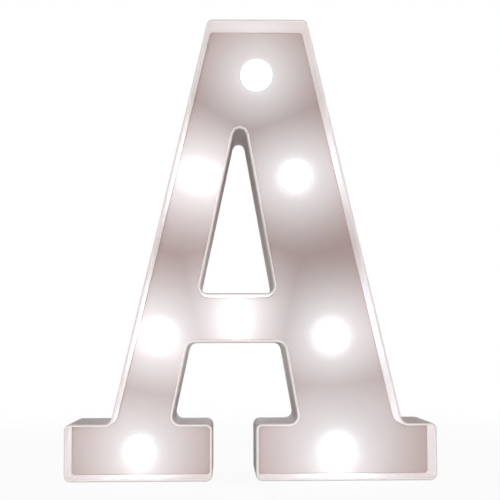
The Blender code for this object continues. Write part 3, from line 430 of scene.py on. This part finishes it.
def lit_milk(number, centre, radius, strength):
    """Milky plastic lit from within in front of the face, brightest over the diode."""
    material = moulded_plastic(f"lit_milk_{number}", CAP_MILK, roughness=0.25, mottle=0.01)
    tree = material.node_tree
    place = add_node(tree, "ShaderNodeTexCoord").outputs["Object"]
    centred = add_node(tree, "ShaderNodeMapping")
    centred.inputs["Location"].default_value = (-centre.x, 0.0, -centre.z)
    across = add_node(tree, "ShaderNodeVectorMath", operation="MULTIPLY")
    across.inputs[1].default_value = (1.0, 0.0, 1.0)
    reach = add_node(tree, "ShaderNodeVectorMath", operation="LENGTH")
    fall = add_node(tree, "ShaderNodeMapRange", interpolation_type="SMOOTHSTEP")
    fall.inputs["From Max"].default_value = radius
    glow = add_node(tree, "ShaderNodeMix", data_type="RGBA")
    glow.inputs["A"].default_value = (*CAP_GLOW, 1.0)
    glow.inputs["B"].default_value = shade(CAP_GLOW, CAP_EDGE_SHARE)
    tree.links.new(place, centred.inputs["Vector"])
    tree.links.new(centred.outputs["Vector"], across.inputs[0])
    tree.links.new(across.outputs["Vector"], reach.inputs[0])
    tree.links.new(reach.outputs["Value"], fall.inputs["Value"])
    tree.links.new(fall.outputs["Result"], glow.inputs["Factor"])
    depth = add_node(tree, "ShaderNodeSeparateXYZ")
    in_front = add_node(tree, "ShaderNodeMath", operation="LESS_THAN")
    in_front.inputs[1].default_value = centre.y
    shown = add_node(tree, "ShaderNodeMix", data_type="RGBA")
    shown.inputs["A"].default_value = (*CAP_REAR_GLOW, 1.0)
    tree.links.new(place, depth.inputs[0])
    tree.links.new(depth.outputs["Y"], in_front.inputs[0])
    tree.links.new(in_front.outputs[0], shown.inputs["Factor"])
    tree.links.new(glow.outputs["Result"], shown.inputs["B"])
    surface = tree.nodes["Principled BSDF"]
    tree.links.new(shown.outputs["Result"], surface.inputs["Emission Color"])
    surface.inputs["Emission Strength"].default_value = strength
    return material


def copy_at(piece, name, matrix):
    """A copy of a shaped piece with its own mesh, its place in the mesh."""
    twin = bpy.data.objects.new(name, piece.data.copy())
    bpy.context.scene.collection.objects.link(twin)
    twin.data.transform(matrix)
    return twin


low, high = cap_boxes[0]
flange_radius = (high.x - low.x) / 2
cap_radius = flange_radius - CAP_FLANGE
dome_height = face_level - low.y - CAP_STEM
TOWARDS_FRONT = Matrix.Rotation(math.pi / 2, 4, "X")

bpy.ops.object.select_all(action="DESELECT")
bpy.ops.mesh.primitive_uv_sphere_add(segments=48, ring_count=24, radius=cap_radius,
                                     location=(0.0, 0.0, 0.0))
cap = bpy.context.object
bpy.ops.object.mode_set(mode="EDIT")
bpy.ops.mesh.select_all(action="SELECT")
bpy.ops.mesh.bisect(plane_co=(0.0, 0.0, 0.0), plane_no=(0.0, 0.0, 1.0), clear_inner=True)
bpy.ops.mesh.select_all(action="SELECT")
flatten = dome_height / cap_radius
bpy.ops.transform.resize(value=(1.0, 1.0, flatten), center_override=(0.0, 0.0, 0.0))
pick(cap, "edges", lambda edge: edge.is_boundary)
seat = -CAP_STEM - CAP_SEAT
bpy.ops.mesh.extrude_edges_move(TRANSFORM_OT_translate={"value": (0.0, 0.0, seat)})
bpy.ops.mesh.extrude_edges_move(TRANSFORM_OT_translate={"value": (0.0, 0.0, 0.0)})
widen = flange_radius / cap_radius
bpy.ops.transform.resize(value=(widen, widen, 1.0), center_override=(0.0, 0.0, seat))
bpy.ops.object.mode_set(mode="OBJECT")
wall = cap.modifiers.new("wall", "SOLIDIFY")
wall.thickness = CAP_WALL
wall.offset = -1.0
bpy.ops.object.modifier_apply(modifier="wall")
bpy.ops.object.mode_set(mode="EDIT")
paint_faces(cap, 1, lambda face: face.normal.dot(face.calc_center_median()) < 0.0)
bpy.ops.object.mode_set(mode="OBJECT")
plain_milk = moulded_plastic("plain_milk", CAP_MILK, roughness=0.3, mottle=0.01)

for number, place, strength in zip(CAPS, lamp_places, CAP_STRENGTHS):
    at_face = Matrix.Translation((place.x, face_level - CAP_STEM, place.z)) @ TOWARDS_FRONT
    piece = copy_at(cap, f"milky_cap_{number}", at_face)
    finished(piece, lit_milk(number, place, cap_radius, strength), plain_milk, slot="milky_cap",
             stands_for=[f"bulb_cap_{number}"])
bpy.data.objects.remove(cap)


# A round diode sits in the collar of each cap: a yellowish clear epoxy body with two tinned
# leads that reach back to the wires.
EPOXY = (0.93, 0.88, 0.66, 1.0)
TINNED = (0.70, 0.70, 0.71, 1.0)
EPOXY_GLOW = (1.0, 0.97, 0.90, 1.0)
EPOXY_GLOW_STRENGTH = 0.5
EPOXY_SPECKLE = 2500.0
EPOXY_GLOSS = (0.12, 0.35)
LEAD_ROOT_GAP = 0.0002


def diode_epoxy(lead_root):
    """Clear epoxy in front of the depth at which the tinned leads come out of it."""
    material = bpy.data.materials.new("diode_epoxy")
    material.use_nodes = True
    tree = material.node_tree
    surface = tree.nodes["Principled BSDF"]
    surface.inputs["Emission Strength"].default_value = EPOXY_GLOW_STRENGTH
    place = add_node(tree, "ShaderNodeTexCoord").outputs["Object"]
    depth = add_node(tree, "ShaderNodeSeparateXYZ")
    is_lead = add_node(tree, "ShaderNodeMath", operation="GREATER_THAN")
    is_lead.inputs[1].default_value = lead_root
    speckle = add_node(tree, "ShaderNodeTexNoise")
    speckle.inputs["Scale"].default_value = EPOXY_SPECKLE
    gloss = add_node(tree, "ShaderNodeMapRange")
    gloss.inputs["To Min"].default_value, gloss.inputs["To Max"].default_value = EPOXY_GLOSS
    tint = add_node(tree, "ShaderNodeMix", data_type="RGBA")
    tint.inputs["A"].default_value = EPOXY
    tint.inputs["B"].default_value = TINNED
    glow = add_node(tree, "ShaderNodeMix", data_type="RGBA")
    glow.inputs["A"].default_value = EPOXY_GLOW
    glow.inputs["B"].default_value = DARK
    tree.links.new(place, depth.inputs[0])
    tree.links.new(depth.outputs["Y"], is_lead.inputs[0])
    tree.links.new(place, speckle.inputs["Vector"])
    tree.links.new(speckle.outputs["Fac"], gloss.inputs["Value"])
    tree.links.new(gloss.outputs["Result"], surface.inputs["Roughness"])
    for mixer, socket in ((tint, "Base Color"), (glow, "Emission Color")):
        tree.links.new(is_lead.outputs[0], mixer.inputs["Factor"])
        tree.links.new(mixer.outputs["Result"], surface.inputs[socket])
    tree.links.new(is_lead.outputs[0], surface.inputs["Metallic"])
    return material


def dressed(material, *names):
    """Give CAD nodes whose shape is right a better material."""
    for name in names:
        for slot in nodes[name].material_slots:
            slot.material = material


lead_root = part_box("black_link_7")[0].y - LEAD_ROOT_GAP
dressed(diode_epoxy(lead_root), *[f"led_{number}" for number in CAPS])


# Thin insulated wires join the diodes in parallel and run to the contacts and the switch. They
# are soft vinyl, red for plus and black for minus, and lie loose behind the face.
VINYL_RED = (0.48, 0.020, 0.018)
VINYL_BLACK = (0.022, 0.022, 0.025)
VINYL_GRAIN = 0.0004

red_vinyl = moulded_plastic("red_vinyl", VINYL_RED, roughness=0.34, mottle=0.08,
                            grain_size=VINYL_GRAIN)
dressed(red_vinyl, *[name for name in nodes if name.startswith("red_link")],
        "positive_lead", "switched_lead")
black_vinyl = moulded_plastic("black_vinyl", VINYL_BLACK, roughness=0.38, mottle=0.12,
                              grain_size=VINYL_GRAIN)
dressed(black_vinyl, *[name for name in nodes if name.startswith("black_link")],
        "negative_lead")


# The back cover is a flat white moulding let into the housing's rear edge, with the battery
# well, the screw cups, the keyhole and the switch pocket in it. Its edges are softened and its
# outer side has a coarser matt grain than the housing.
BACK_WHITE = (0.81, 0.765, 0.755)
BACK_EDGE_SOFTNESS = 0.00025
BACK_GRAIN = 0.0009
BACK_GRAIN_DEPTH = 0.00003

cover = worked_copy("back_cover", "back_panel")
pick(cover, "edges", lambda edge: lies_at(edge, back_level) and sharp(edge))
bpy.ops.mesh.bevel(offset=BACK_EDGE_SOFTNESS, segments=2, clamp_overlap=False)
back_white = moulded_plastic("back_white", BACK_WHITE, roughness=0.62, shine=0.4, mottle=0.025,
                             grain_size=BACK_GRAIN, grain_depth=BACK_GRAIN_DEPTH)
finished(cover, back_white, slot="back", stands_for=["back_cover"], flat_sided=True)


# A slide switch is screwed behind its window: a folded steel case, two small screws, and a
# ribbed black knob. ON and OFF stand in low relief under the window, with grey ink on them.
CASE_STEEL = (0.12, 0.12, 0.124)
KNOB_BLACK = (0.030, 0.030, 0.033)
KNOB_SOFTNESS = 0.0002
RIB_WIDTH = 0.00035
RIB_HEIGHT = 0.00012
RIB_PITCH = 0.0007
WORD_HEIGHT = 0.0026
WORD_RELIEF = 0.00015
WORD_DROP = 0.0066
WORD_OFFSETS = {"ON": -0.0040, "OFF": 0.0040}
WORD_GREY = (0.16, 0.155, 0.155)
PLATE_DETAIL = 4.0
PLATE_GLOSS = (-0.12, 0.14)
PLATE_TINT_SHARES = (0.88, 1.10)
PLATE_GRAIN_STRENGTH = 0.4
PLATE_GRAIN_DEPTH = 0.00001


def plated_metal(name, colour, roughness=0.28, streak=(1.0, 1.0, 1.0), scale=900.0):
    """Plated metal with a cloudy gloss, drawn out along the axis where the streak is small."""
    material = bpy.data.materials.new(name)
    material.use_nodes = True
    tree = material.node_tree
    surface = tree.nodes["Principled BSDF"]
    surface.inputs["Metallic"].default_value = 1.0
    place = add_node(tree, "ShaderNodeTexCoord").outputs["Object"]
    drawn = add_node(tree, "ShaderNodeMapping")
    drawn.inputs["Scale"].default_value = streak
    cloud = add_node(tree, "ShaderNodeTexNoise")
    cloud.inputs["Scale"].default_value = scale
    cloud.inputs["Detail"].default_value = PLATE_DETAIL
    gloss = add_node(tree, "ShaderNodeMapRange")
    gloss.inputs["To Min"].default_value = roughness + PLATE_GLOSS[0]
    gloss.inputs["To Max"].default_value = roughness + PLATE_GLOSS[1]
    tint = add_node(tree, "ShaderNodeMix", data_type="RGBA")
    tint.inputs["A"].default_value = shade(colour, PLATE_TINT_SHARES[0])
    tint.inputs["B"].default_value = shade(colour, PLATE_TINT_SHARES[1])
    bump = add_node(tree, "ShaderNodeBump")
    bump.inputs["Strength"].default_value = PLATE_GRAIN_STRENGTH
    bump.inputs["Distance"].default_value = PLATE_GRAIN_DEPTH
    tree.links.new(place, drawn.inputs["Vector"])
    tree.links.new(drawn.outputs["Vector"], cloud.inputs["Vector"])
    tree.links.new(cloud.outputs["Fac"], gloss.inputs["Value"])
    tree.links.new(gloss.outputs["Result"], surface.inputs["Roughness"])
    tree.links.new(cloud.outputs["Fac"], tint.inputs["Factor"])
    tree.links.new(tint.outputs["Result"], surface.inputs["Base Color"])
    tree.links.new(cloud.outputs["Fac"], bump.inputs["Height"])
    tree.links.new(bump.outputs["Normal"], surface.inputs["Normal"])
    return material


case_steel = plated_metal("case_steel", CASE_STEEL, roughness=0.45, streak=(0.15, 1.0, 1.0))
dressed(case_steel, "switch_body")

knob_low, knob_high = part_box("switch_slider")
knob_middle = (knob_low + knob_high) / 2
rib_length = knob_high.z - knob_low.z - 2 * KNOB_SOFTNESS
ribs = []
for step in (-1, 0, 1):
    bpy.ops.object.select_all(action="DESELECT")
    bpy.ops.mesh.primitive_cube_add(size=1.0, location=(0.0, 0.0, 0.0))
    rib = bpy.context.object
    bpy.ops.object.mode_set(mode="EDIT")
    bpy.ops.mesh.select_all(action="SELECT")
    bpy.ops.transform.resize(value=(RIB_WIDTH, 2 * RIB_HEIGHT, rib_length))
    across = knob_middle.x + step * RIB_PITCH
    bpy.ops.transform.translate(value=(across, knob_high.y, knob_middle.z))
    bpy.ops.mesh.bevel(offset=RIB_HEIGHT / 2, segments=2)
    bpy.ops.object.mode_set(mode="OBJECT")
    ribs.append(rib)
knob = worked_copy("switch_slider", "switch_knob")
pick(knob, "edges", lambda edge: sharp(edge)
     and max(vert.co.y for vert in edge.verts) > knob_high.y - FLAT)
bpy.ops.mesh.bevel(offset=KNOB_SOFTNESS, segments=3, clamp_overlap=False)
bpy.ops.object.mode_set(mode="OBJECT")
for rib in ribs:
    rib.select_set(True)
bpy.ops.object.join()
knob_black = moulded_plastic("knob_black", KNOB_BLACK, roughness=0.45, mottle=0.15)
finished(knob, knob_black, body="switch_slider", slot="knob", stands_for=["switch_slider"],
         flat_sided=True)

body_low, body_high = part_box("switch_body")
switch_middle = (body_low + body_high) / 2
word_ink = moulded_plastic("word_ink", WORD_GREY, roughness=0.6, mottle=0.12)
for word, offset in WORD_OFFSETS.items():
    bpy.ops.object.select_all(action="DESELECT")
    bpy.ops.object.text_add(location=(0.0, 0.0, 0.0))
    text = bpy.context.object
    text.data.body = word
    text.data.size = WORD_HEIGHT
    text.data.align_x = "CENTER"
    text.data.align_y = "CENTER"
    text.data.extrude = WORD_RELIEF
    text.data.resolution_u = 4
    text.data.bevel_depth = WORD_RELIEF / 4
    bpy.ops.object.convert(target="MESH")
    text = bpy.context.object
    text.name = f"word_{word.lower()}"
    place = Vector((switch_middle.x + offset, back_level, switch_middle.z - WORD_DROP))
    facing_back = Matrix.Rotation(math.pi, 4, "Z") @ TOWARDS_FRONT
    text.data.transform(Matrix.Translation(place) @ facing_back)
    finished(text, word_ink, slot="back")


# Steel contacts stand at both ends of the battery well: two plates with solder tabs, one
# bridge plate, and two tapering springs of hard-drawn round wire that push on the cells.
CONTACT_NICKEL = (0.60, 0.58, 0.54)
SPRING_STEEL = (0.50, 0.50, 0.51)
SPRING_WIRE = 0.00035
SPRING_ENDS = (0.0039, 0.0022)
SPRING_TURNS = 3.5
SPRING_LENGTH = 0.0050
SPRING_POINTS = 24
SPRING_DROP = 0.02515
WELL_LEAN = math.radians(11.377)
CELL_OFFSET = 0.00725
UPSIDE_DOWN = Matrix.Rotation(math.pi, 4, "Y")

nickel = plated_metal("contact_nickel", CONTACT_NICKEL, roughness=0.24, scale=1500.0)
dressed(nickel, "negative_plate", "positive_plate", "bridge_plate")

cells_low, cells_high = zip(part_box("cell_1"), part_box("cell_2"))
well_middle = (cells_low[0] + cells_low[1] + cells_high[0] + cells_high[1]) / 4
WELL = Matrix.Translation(well_middle) @ Matrix.Rotation(-WELL_LEAN, 4, "Y")

steel = plated_metal("spring_steel", SPRING_STEEL, roughness=0.26, scale=1200.0)
for name, way in (("negative_spring", Matrix()), ("bridge_spring", UPSIDE_DOWN)):
    curve = bpy.data.curves.new(name, "CURVE")
    curve.dimensions = "3D"
    curve.bevel_depth = SPRING_WIRE
    curve.bevel_resolution = 4
    curve.use_fill_caps = True
    count = int(SPRING_TURNS * SPRING_POINTS)
    spline = curve.splines.new("POLY")
    spline.points.add(count)
    for index, point in enumerate(spline.points):
        share = index / count
        angle = 2 * math.pi * SPRING_TURNS * share
        radius = SPRING_ENDS[0] + (SPRING_ENDS[1] - SPRING_ENDS[0]) * share - SPRING_WIRE
        rise = (SPRING_LENGTH - 2 * SPRING_WIRE) * (share - 0.5)
        point.co = (-radius * math.cos(angle), radius * math.sin(angle), rise, 1.0)
    coil = bpy.data.objects.new(f"coiled_{name}", curve)
    bpy.context.scene.collection.objects.link(coil)
    chosen(coil)
    bpy.ops.object.convert(target="MESH")
    coil = bpy.context.object
    coil.data.transform(WELL @ way @ Matrix.Translation((-CELL_OFFSET, 0.0, -SPRING_DROP)))
    finished(coil, steel, slot="spring_steel", stands_for=[name])


# Eight pan-head screws in cups hold the cover to the housing's posts, and two smaller ones hold
# the switch. They are zinc-plated steel, with a cross recess and a coarse thread for plastic.
ZINC = (0.50, 0.51, 0.53)
SCREW_COUNTS = {"cover_screw": 8, "switch_screw": 2}
SCREW_SHANKS = {"cover_screw": 0.0011, "switch_screw": 0.0009}
SCREW_TURN = 37.0
HEAD_HEIGHT_SHARE = 0.48
HEAD_FLAT_SHARE = 0.45
HEAD_DOME_SHARE = 0.7
HEAD_STEPS = 5
POINT_SHARES = (0.3, 0.8)
THREAD_PITCH = 0.0007
THREAD_DEPTH = 0.00025
RECESS_WIDTH = 0.00055
RECESS_SHARE = 1.2
RECESS_PAINTED_SHADE = (0.10, 0.10, 0.105)
UPRIGHT = 0.1
TOWARDS_BACK = Matrix.Rotation(-math.pi / 2, 4, "X")


def lathe(name, profile, segments=40):
    """A solid turned from a profile of (radius, height), from its lower end to its upper end."""
    bpy.ops.object.select_all(action="DESELECT")
    radius, height = profile[0]
    bpy.ops.mesh.primitive_circle_add(vertices=segments, radius=radius, fill_type="NGON",
                                      location=(0.0, 0.0, 0.0))
    piece = bpy.context.object
    piece.name = name
    bpy.ops.object.mode_set(mode="EDIT")
    bpy.ops.mesh.select_all(action="SELECT")
    bpy.ops.transform.translate(value=(0.0, 0.0, height))
    for next_radius, next_height in profile[1:]:
        rise = {"value": (0.0, 0.0, next_height - height)}
        bpy.ops.mesh.extrude_region_move(TRANSFORM_OT_translate=rise)
        growth = next_radius / radius
        bpy.ops.transform.resize(value=(growth, growth, 1.0),
                                 center_override=(0.0, 0.0, next_height))
        radius, height = next_radius, next_height
    bpy.ops.mesh.select_all(action="SELECT")
    bpy.ops.mesh.normals_make_consistent(inside=False)
    bpy.ops.object.mode_set(mode="OBJECT")
    return piece


def cut_away(piece, size, place):
    """Cut a box out of a piece."""
    bpy.ops.object.select_all(action="DESELECT")
    bpy.ops.mesh.primitive_cube_add(size=1.0, location=(0.0, 0.0, 0.0))
    tool = bpy.context.object
    tool.data.transform(Matrix.Translation(place) @ Matrix.Diagonal((*size, 1.0)))
    cut = piece.modifiers.new("cut", "BOOLEAN")
    cut.object = tool
    cut.operation = "DIFFERENCE"
    chosen(piece)
    bpy.ops.object.modifier_apply(modifier="cut")
    bpy.data.objects.remove(tool)


def cross_head_screw(name, low, high, shank):
    """A screw as long and as wide as a box from low to high, its head's top at zero."""
    head_radius = (high.x - low.x) / 2
    length = high.y - low.y
    head_height = head_radius * HEAD_HEIGHT_SHARE
    flat_top = head_radius * HEAD_FLAT_SHARE
    profile = [(shank * POINT_SHARES[0], -length), (shank * POINT_SHARES[1], -length + shank)]
    height = -length + shank + THREAD_PITCH
    while height < -head_height - THREAD_PITCH:
        profile += [(shank, height), (shank - THREAD_DEPTH, height + THREAD_PITCH / 2)]
        height += THREAD_PITCH
    profile += [(shank, -head_height), (head_radius, -head_height - FLAT)]
    for step in range(HEAD_STEPS + 1):
        turn = math.pi / 2 * step / HEAD_STEPS
        dome = HEAD_DOME_SHARE - HEAD_DOME_SHARE * math.sin(turn)
        profile.append((flat_top + (head_radius - flat_top) * math.cos(turn),
                        -head_height * dome))
    screw = lathe(name, profile)
    reach, deep = head_radius * RECESS_SHARE, head_height * RECESS_SHARE
    cut_away(screw, (reach, RECESS_WIDTH, deep), (0.0, 0.0, 0.0))
    cut_away(screw, (RECESS_WIDTH, reach, deep), (0.0, 0.0, 0.0))
    bpy.ops.object.mode_set(mode="EDIT")
    floor_level = -deep / 2
    # The faces of the cross recess take a dark zinc, as painted shade.
    paint_faces(screw, 1, lambda face: face.calc_center_median().xy.length < reach / 2
                and face.calc_center_median().z > floor_level - FLAT
                and (abs(face.normal.z) < UPRIGHT
                     or face.calc_center_median().z < floor_level + FLAT))
    bpy.ops.object.mode_set(mode="OBJECT")
    return screw


zinc = plated_metal("zinc_plate", ZINC, roughness=0.30, scale=1100.0)
# A dark zinc for the cross recess, as painted shade.
zinc_in_shade = plated_metal("zinc_in_shade", RECESS_PAINTED_SHADE, roughness=0.5, scale=1100.0)
for kind, count in SCREW_COUNTS.items():
    pattern = cross_head_screw(kind, *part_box(f"{kind}_1"), SCREW_SHANKS[kind])
    for number in range(1, count + 1):
        low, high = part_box(f"{kind}_{number}")
        seat = Matrix.Translation(((low.x + high.x) / 2, high.y, (low.z + high.z) / 2))
        turn = Matrix.Rotation(math.radians(SCREW_TURN * number), 4, "Z")
        screw = copy_at(pattern, f"cross_{kind}_{number}", seat @ TOWARDS_BACK @ turn)
        finished(screw, zinc, zinc_in_shade, slot="zinc", stands_for=[f"{kind}_{number}"])
    bpy.data.objects.remove(pattern)


# Two round cells lie side by side, opposite ways up. Each is a steel can in a printed sleeve
# that is shrunk over its edges, with a nub at the plus end and a plain button at the other.
CELL_LENGTH = 0.0500
CELL_RADIUS = 0.0071
CELL_NUB = (0.0027, 0.0012)
CELL_SHIFT = 0.00265
CAN_STEP = 0.0002
BUTTON_SHARES = (0.55, 0.60, 0.78)
SHOULDER_SHARE = 0.72
NUB_FOOT_SHARE = 1.25
NUB_EDGE = 0.0003
SLEEVE_EDGE = 0.0006
SLEEVE_EDGE_MIDDLE = (0.0002, 0.00015)
SLEEVE_TEAL = (0.045, 0.17, 0.22)
SLEEVE_BAND = (0.66, 0.66, 0.64)
SLEEVE_BAND_HEIGHT = 0.0395
SLEEVE_GRAIN = 0.00015
SLEEVE_GRAIN_DEPTH = 0.0000005
MARK_REACH = 0.0032
MARK_CELLS = 11
MARK_BAR_CELLS = 3
MARK_RELIEF = 0.00006
MARK_SINK = 0.00004
MARK_HEIGHT_SHARES = {"plus": 0.88, "minus": 0.08}


def sleeve_mark(name, upright, height):
    """A printed minus sign, or plus sign with its upright, wrapped on the sleeve at a height."""
    bpy.ops.object.select_all(action="DESELECT")
    bpy.ops.mesh.primitive_grid_add(x_subdivisions=MARK_CELLS, y_subdivisions=MARK_CELLS,
                                    size=MARK_REACH, location=(0.0, 0.0, 0.0))
    sign = bpy.context.object
    sign.name = name
    bar = MARK_REACH * MARK_BAR_CELLS / MARK_CELLS / 2
    bpy.ops.object.mode_set(mode="EDIT")
    pick(sign, "faces", lambda face: abs(face.calc_center_median().y) > bar
         and not (upright and abs(face.calc_center_median().x) < bar))
    bpy.ops.mesh.delete(type="FACE")
    bpy.ops.object.mode_set(mode="OBJECT")
    layer = sign.modifiers.new("layer", "SOLIDIFY")
    layer.thickness = MARK_RELIEF + MARK_SINK
    layer.offset = -1.0
    bpy.ops.object.modifier_apply(modifier="layer")
    for vert in sign.data.vertices:
        angle = -vert.co.x / CELL_RADIUS
        radius = CELL_RADIUS + MARK_RELIEF + vert.co.z
        vert.co = (radius * math.sin(angle), radius * math.cos(angle), height + vert.co.y)
    return sign


nub_radius, nub_height = CELL_NUB
sleeve_top = CELL_LENGTH - nub_height
edge_in, edge_up = SLEEVE_EDGE_MIDDLE
can = lathe("cell_pattern", [
    (CELL_RADIUS * BUTTON_SHARES[0], 0.0),
    (CELL_RADIUS * BUTTON_SHARES[1], CAN_STEP),
    (CELL_RADIUS * BUTTON_SHARES[2], CAN_STEP),
    (CELL_RADIUS - SLEEVE_EDGE, 0.0),
    (CELL_RADIUS - edge_in, edge_up),
    (CELL_RADIUS, SLEEVE_EDGE),
    (CELL_RADIUS, SLEEVE_BAND_HEIGHT),
    (CELL_RADIUS, sleeve_top - SLEEVE_EDGE),
    (CELL_RADIUS - edge_in, sleeve_top - edge_up),
    (CELL_RADIUS - SLEEVE_EDGE, sleeve_top),
    (CELL_RADIUS * SHOULDER_SHARE, sleeve_top - CAN_STEP),
    (nub_radius * NUB_FOOT_SHARE, sleeve_top - CAN_STEP),
    (nub_radius, sleeve_top + CAN_STEP),
    (nub_radius, CELL_LENGTH - NUB_EDGE),
    (nub_radius - NUB_EDGE, CELL_LENGTH)], segments=64)
sleeve = moulded_plastic("cell_sleeve", SLEEVE_TEAL, roughness=0.28, mottle=0.03,
                         grain_size=SLEEVE_GRAIN, grain_depth=SLEEVE_GRAIN_DEPTH)
band = moulded_plastic("cell_band", SLEEVE_BAND, roughness=0.30, mottle=0.02,
                       grain_size=SLEEVE_GRAIN, grain_depth=SLEEVE_GRAIN_DEPTH)
chosen(can)
bpy.ops.object.mode_set(mode="EDIT")
paint_faces(can, 1, lambda face: face.calc_center_median().z > SLEEVE_BAND_HEIGHT)
paint_faces(can, 2, lambda face: max(vert.co.xy.length for vert in face.verts)
            < CELL_RADIUS - SLEEVE_EDGE + FLAT)
bpy.ops.object.mode_set(mode="OBJECT")
for number, way in ((1, Matrix()), (2, UPSIDE_DOWN)):
    place = WELL @ way @ Matrix.Translation((-CELL_OFFSET, 0.0, CELL_SHIFT - CELL_LENGTH / 2))
    finished(copy_at(can, f"round_cell_{number}", place), sleeve, band, zinc, slot="cell_sleeve",
             stands_for=[f"cell_{number}"])
    for name, ink in (("plus", sleeve), ("minus", band)):
        sign = sleeve_mark(f"cell_{number}_{name}", name == "plus",
                           CELL_LENGTH * MARK_HEIGHT_SHARES[name])
        sign.data.transform(place)
        finished(sign, ink, slot="cell_sleeve")
bpy.data.objects.remove(can)


# The battery door closes the well. It hangs on two hooks at its lower end and is held by a
# tongue at its upper end, and has grooves and a raised arrow for the thumb that slides it.
DOOR_EDGE_SOFTNESS = 0.00025
ARROW_RADIUS = 0.0024
ARROW_RELIEF = 0.0002
ARROW_RISE = 0.0135

door = worked_copy("battery_door", "battery_lid")
pick(door, "edges", lambda edge: lies_at(edge, back_level) and sharp(edge))
bpy.ops.mesh.bevel(offset=DOOR_EDGE_SOFTNESS, segments=2, clamp_overlap=False)
finished(door, back_white, body="battery_door", slot="back", stands_for=["battery_door"],
         flat_sided=True)

bpy.ops.object.select_all(action="DESELECT")
bpy.ops.mesh.primitive_cylinder_add(vertices=3, radius=ARROW_RADIUS, depth=2 * ARROW_RELIEF,
                                    location=(0.0, 0.0, 0.0))
arrow = bpy.context.object
arrow.name = "door_arrow"
bpy.ops.object.mode_set(mode="EDIT")
bpy.ops.mesh.select_all(action="SELECT")
bpy.ops.mesh.bevel(offset=ARROW_RELIEF / 2, segments=2)
bpy.ops.object.mode_set(mode="OBJECT")
door_level = Matrix.Translation((0.0, back_level - well_middle.y, ARROW_RISE))
arrow.data.transform(WELL @ door_level @ UPSIDE_DOWN @ TOWARDS_BACK)
finished(arrow, back_white, body="battery_door", slot="back", flat_sided=True)
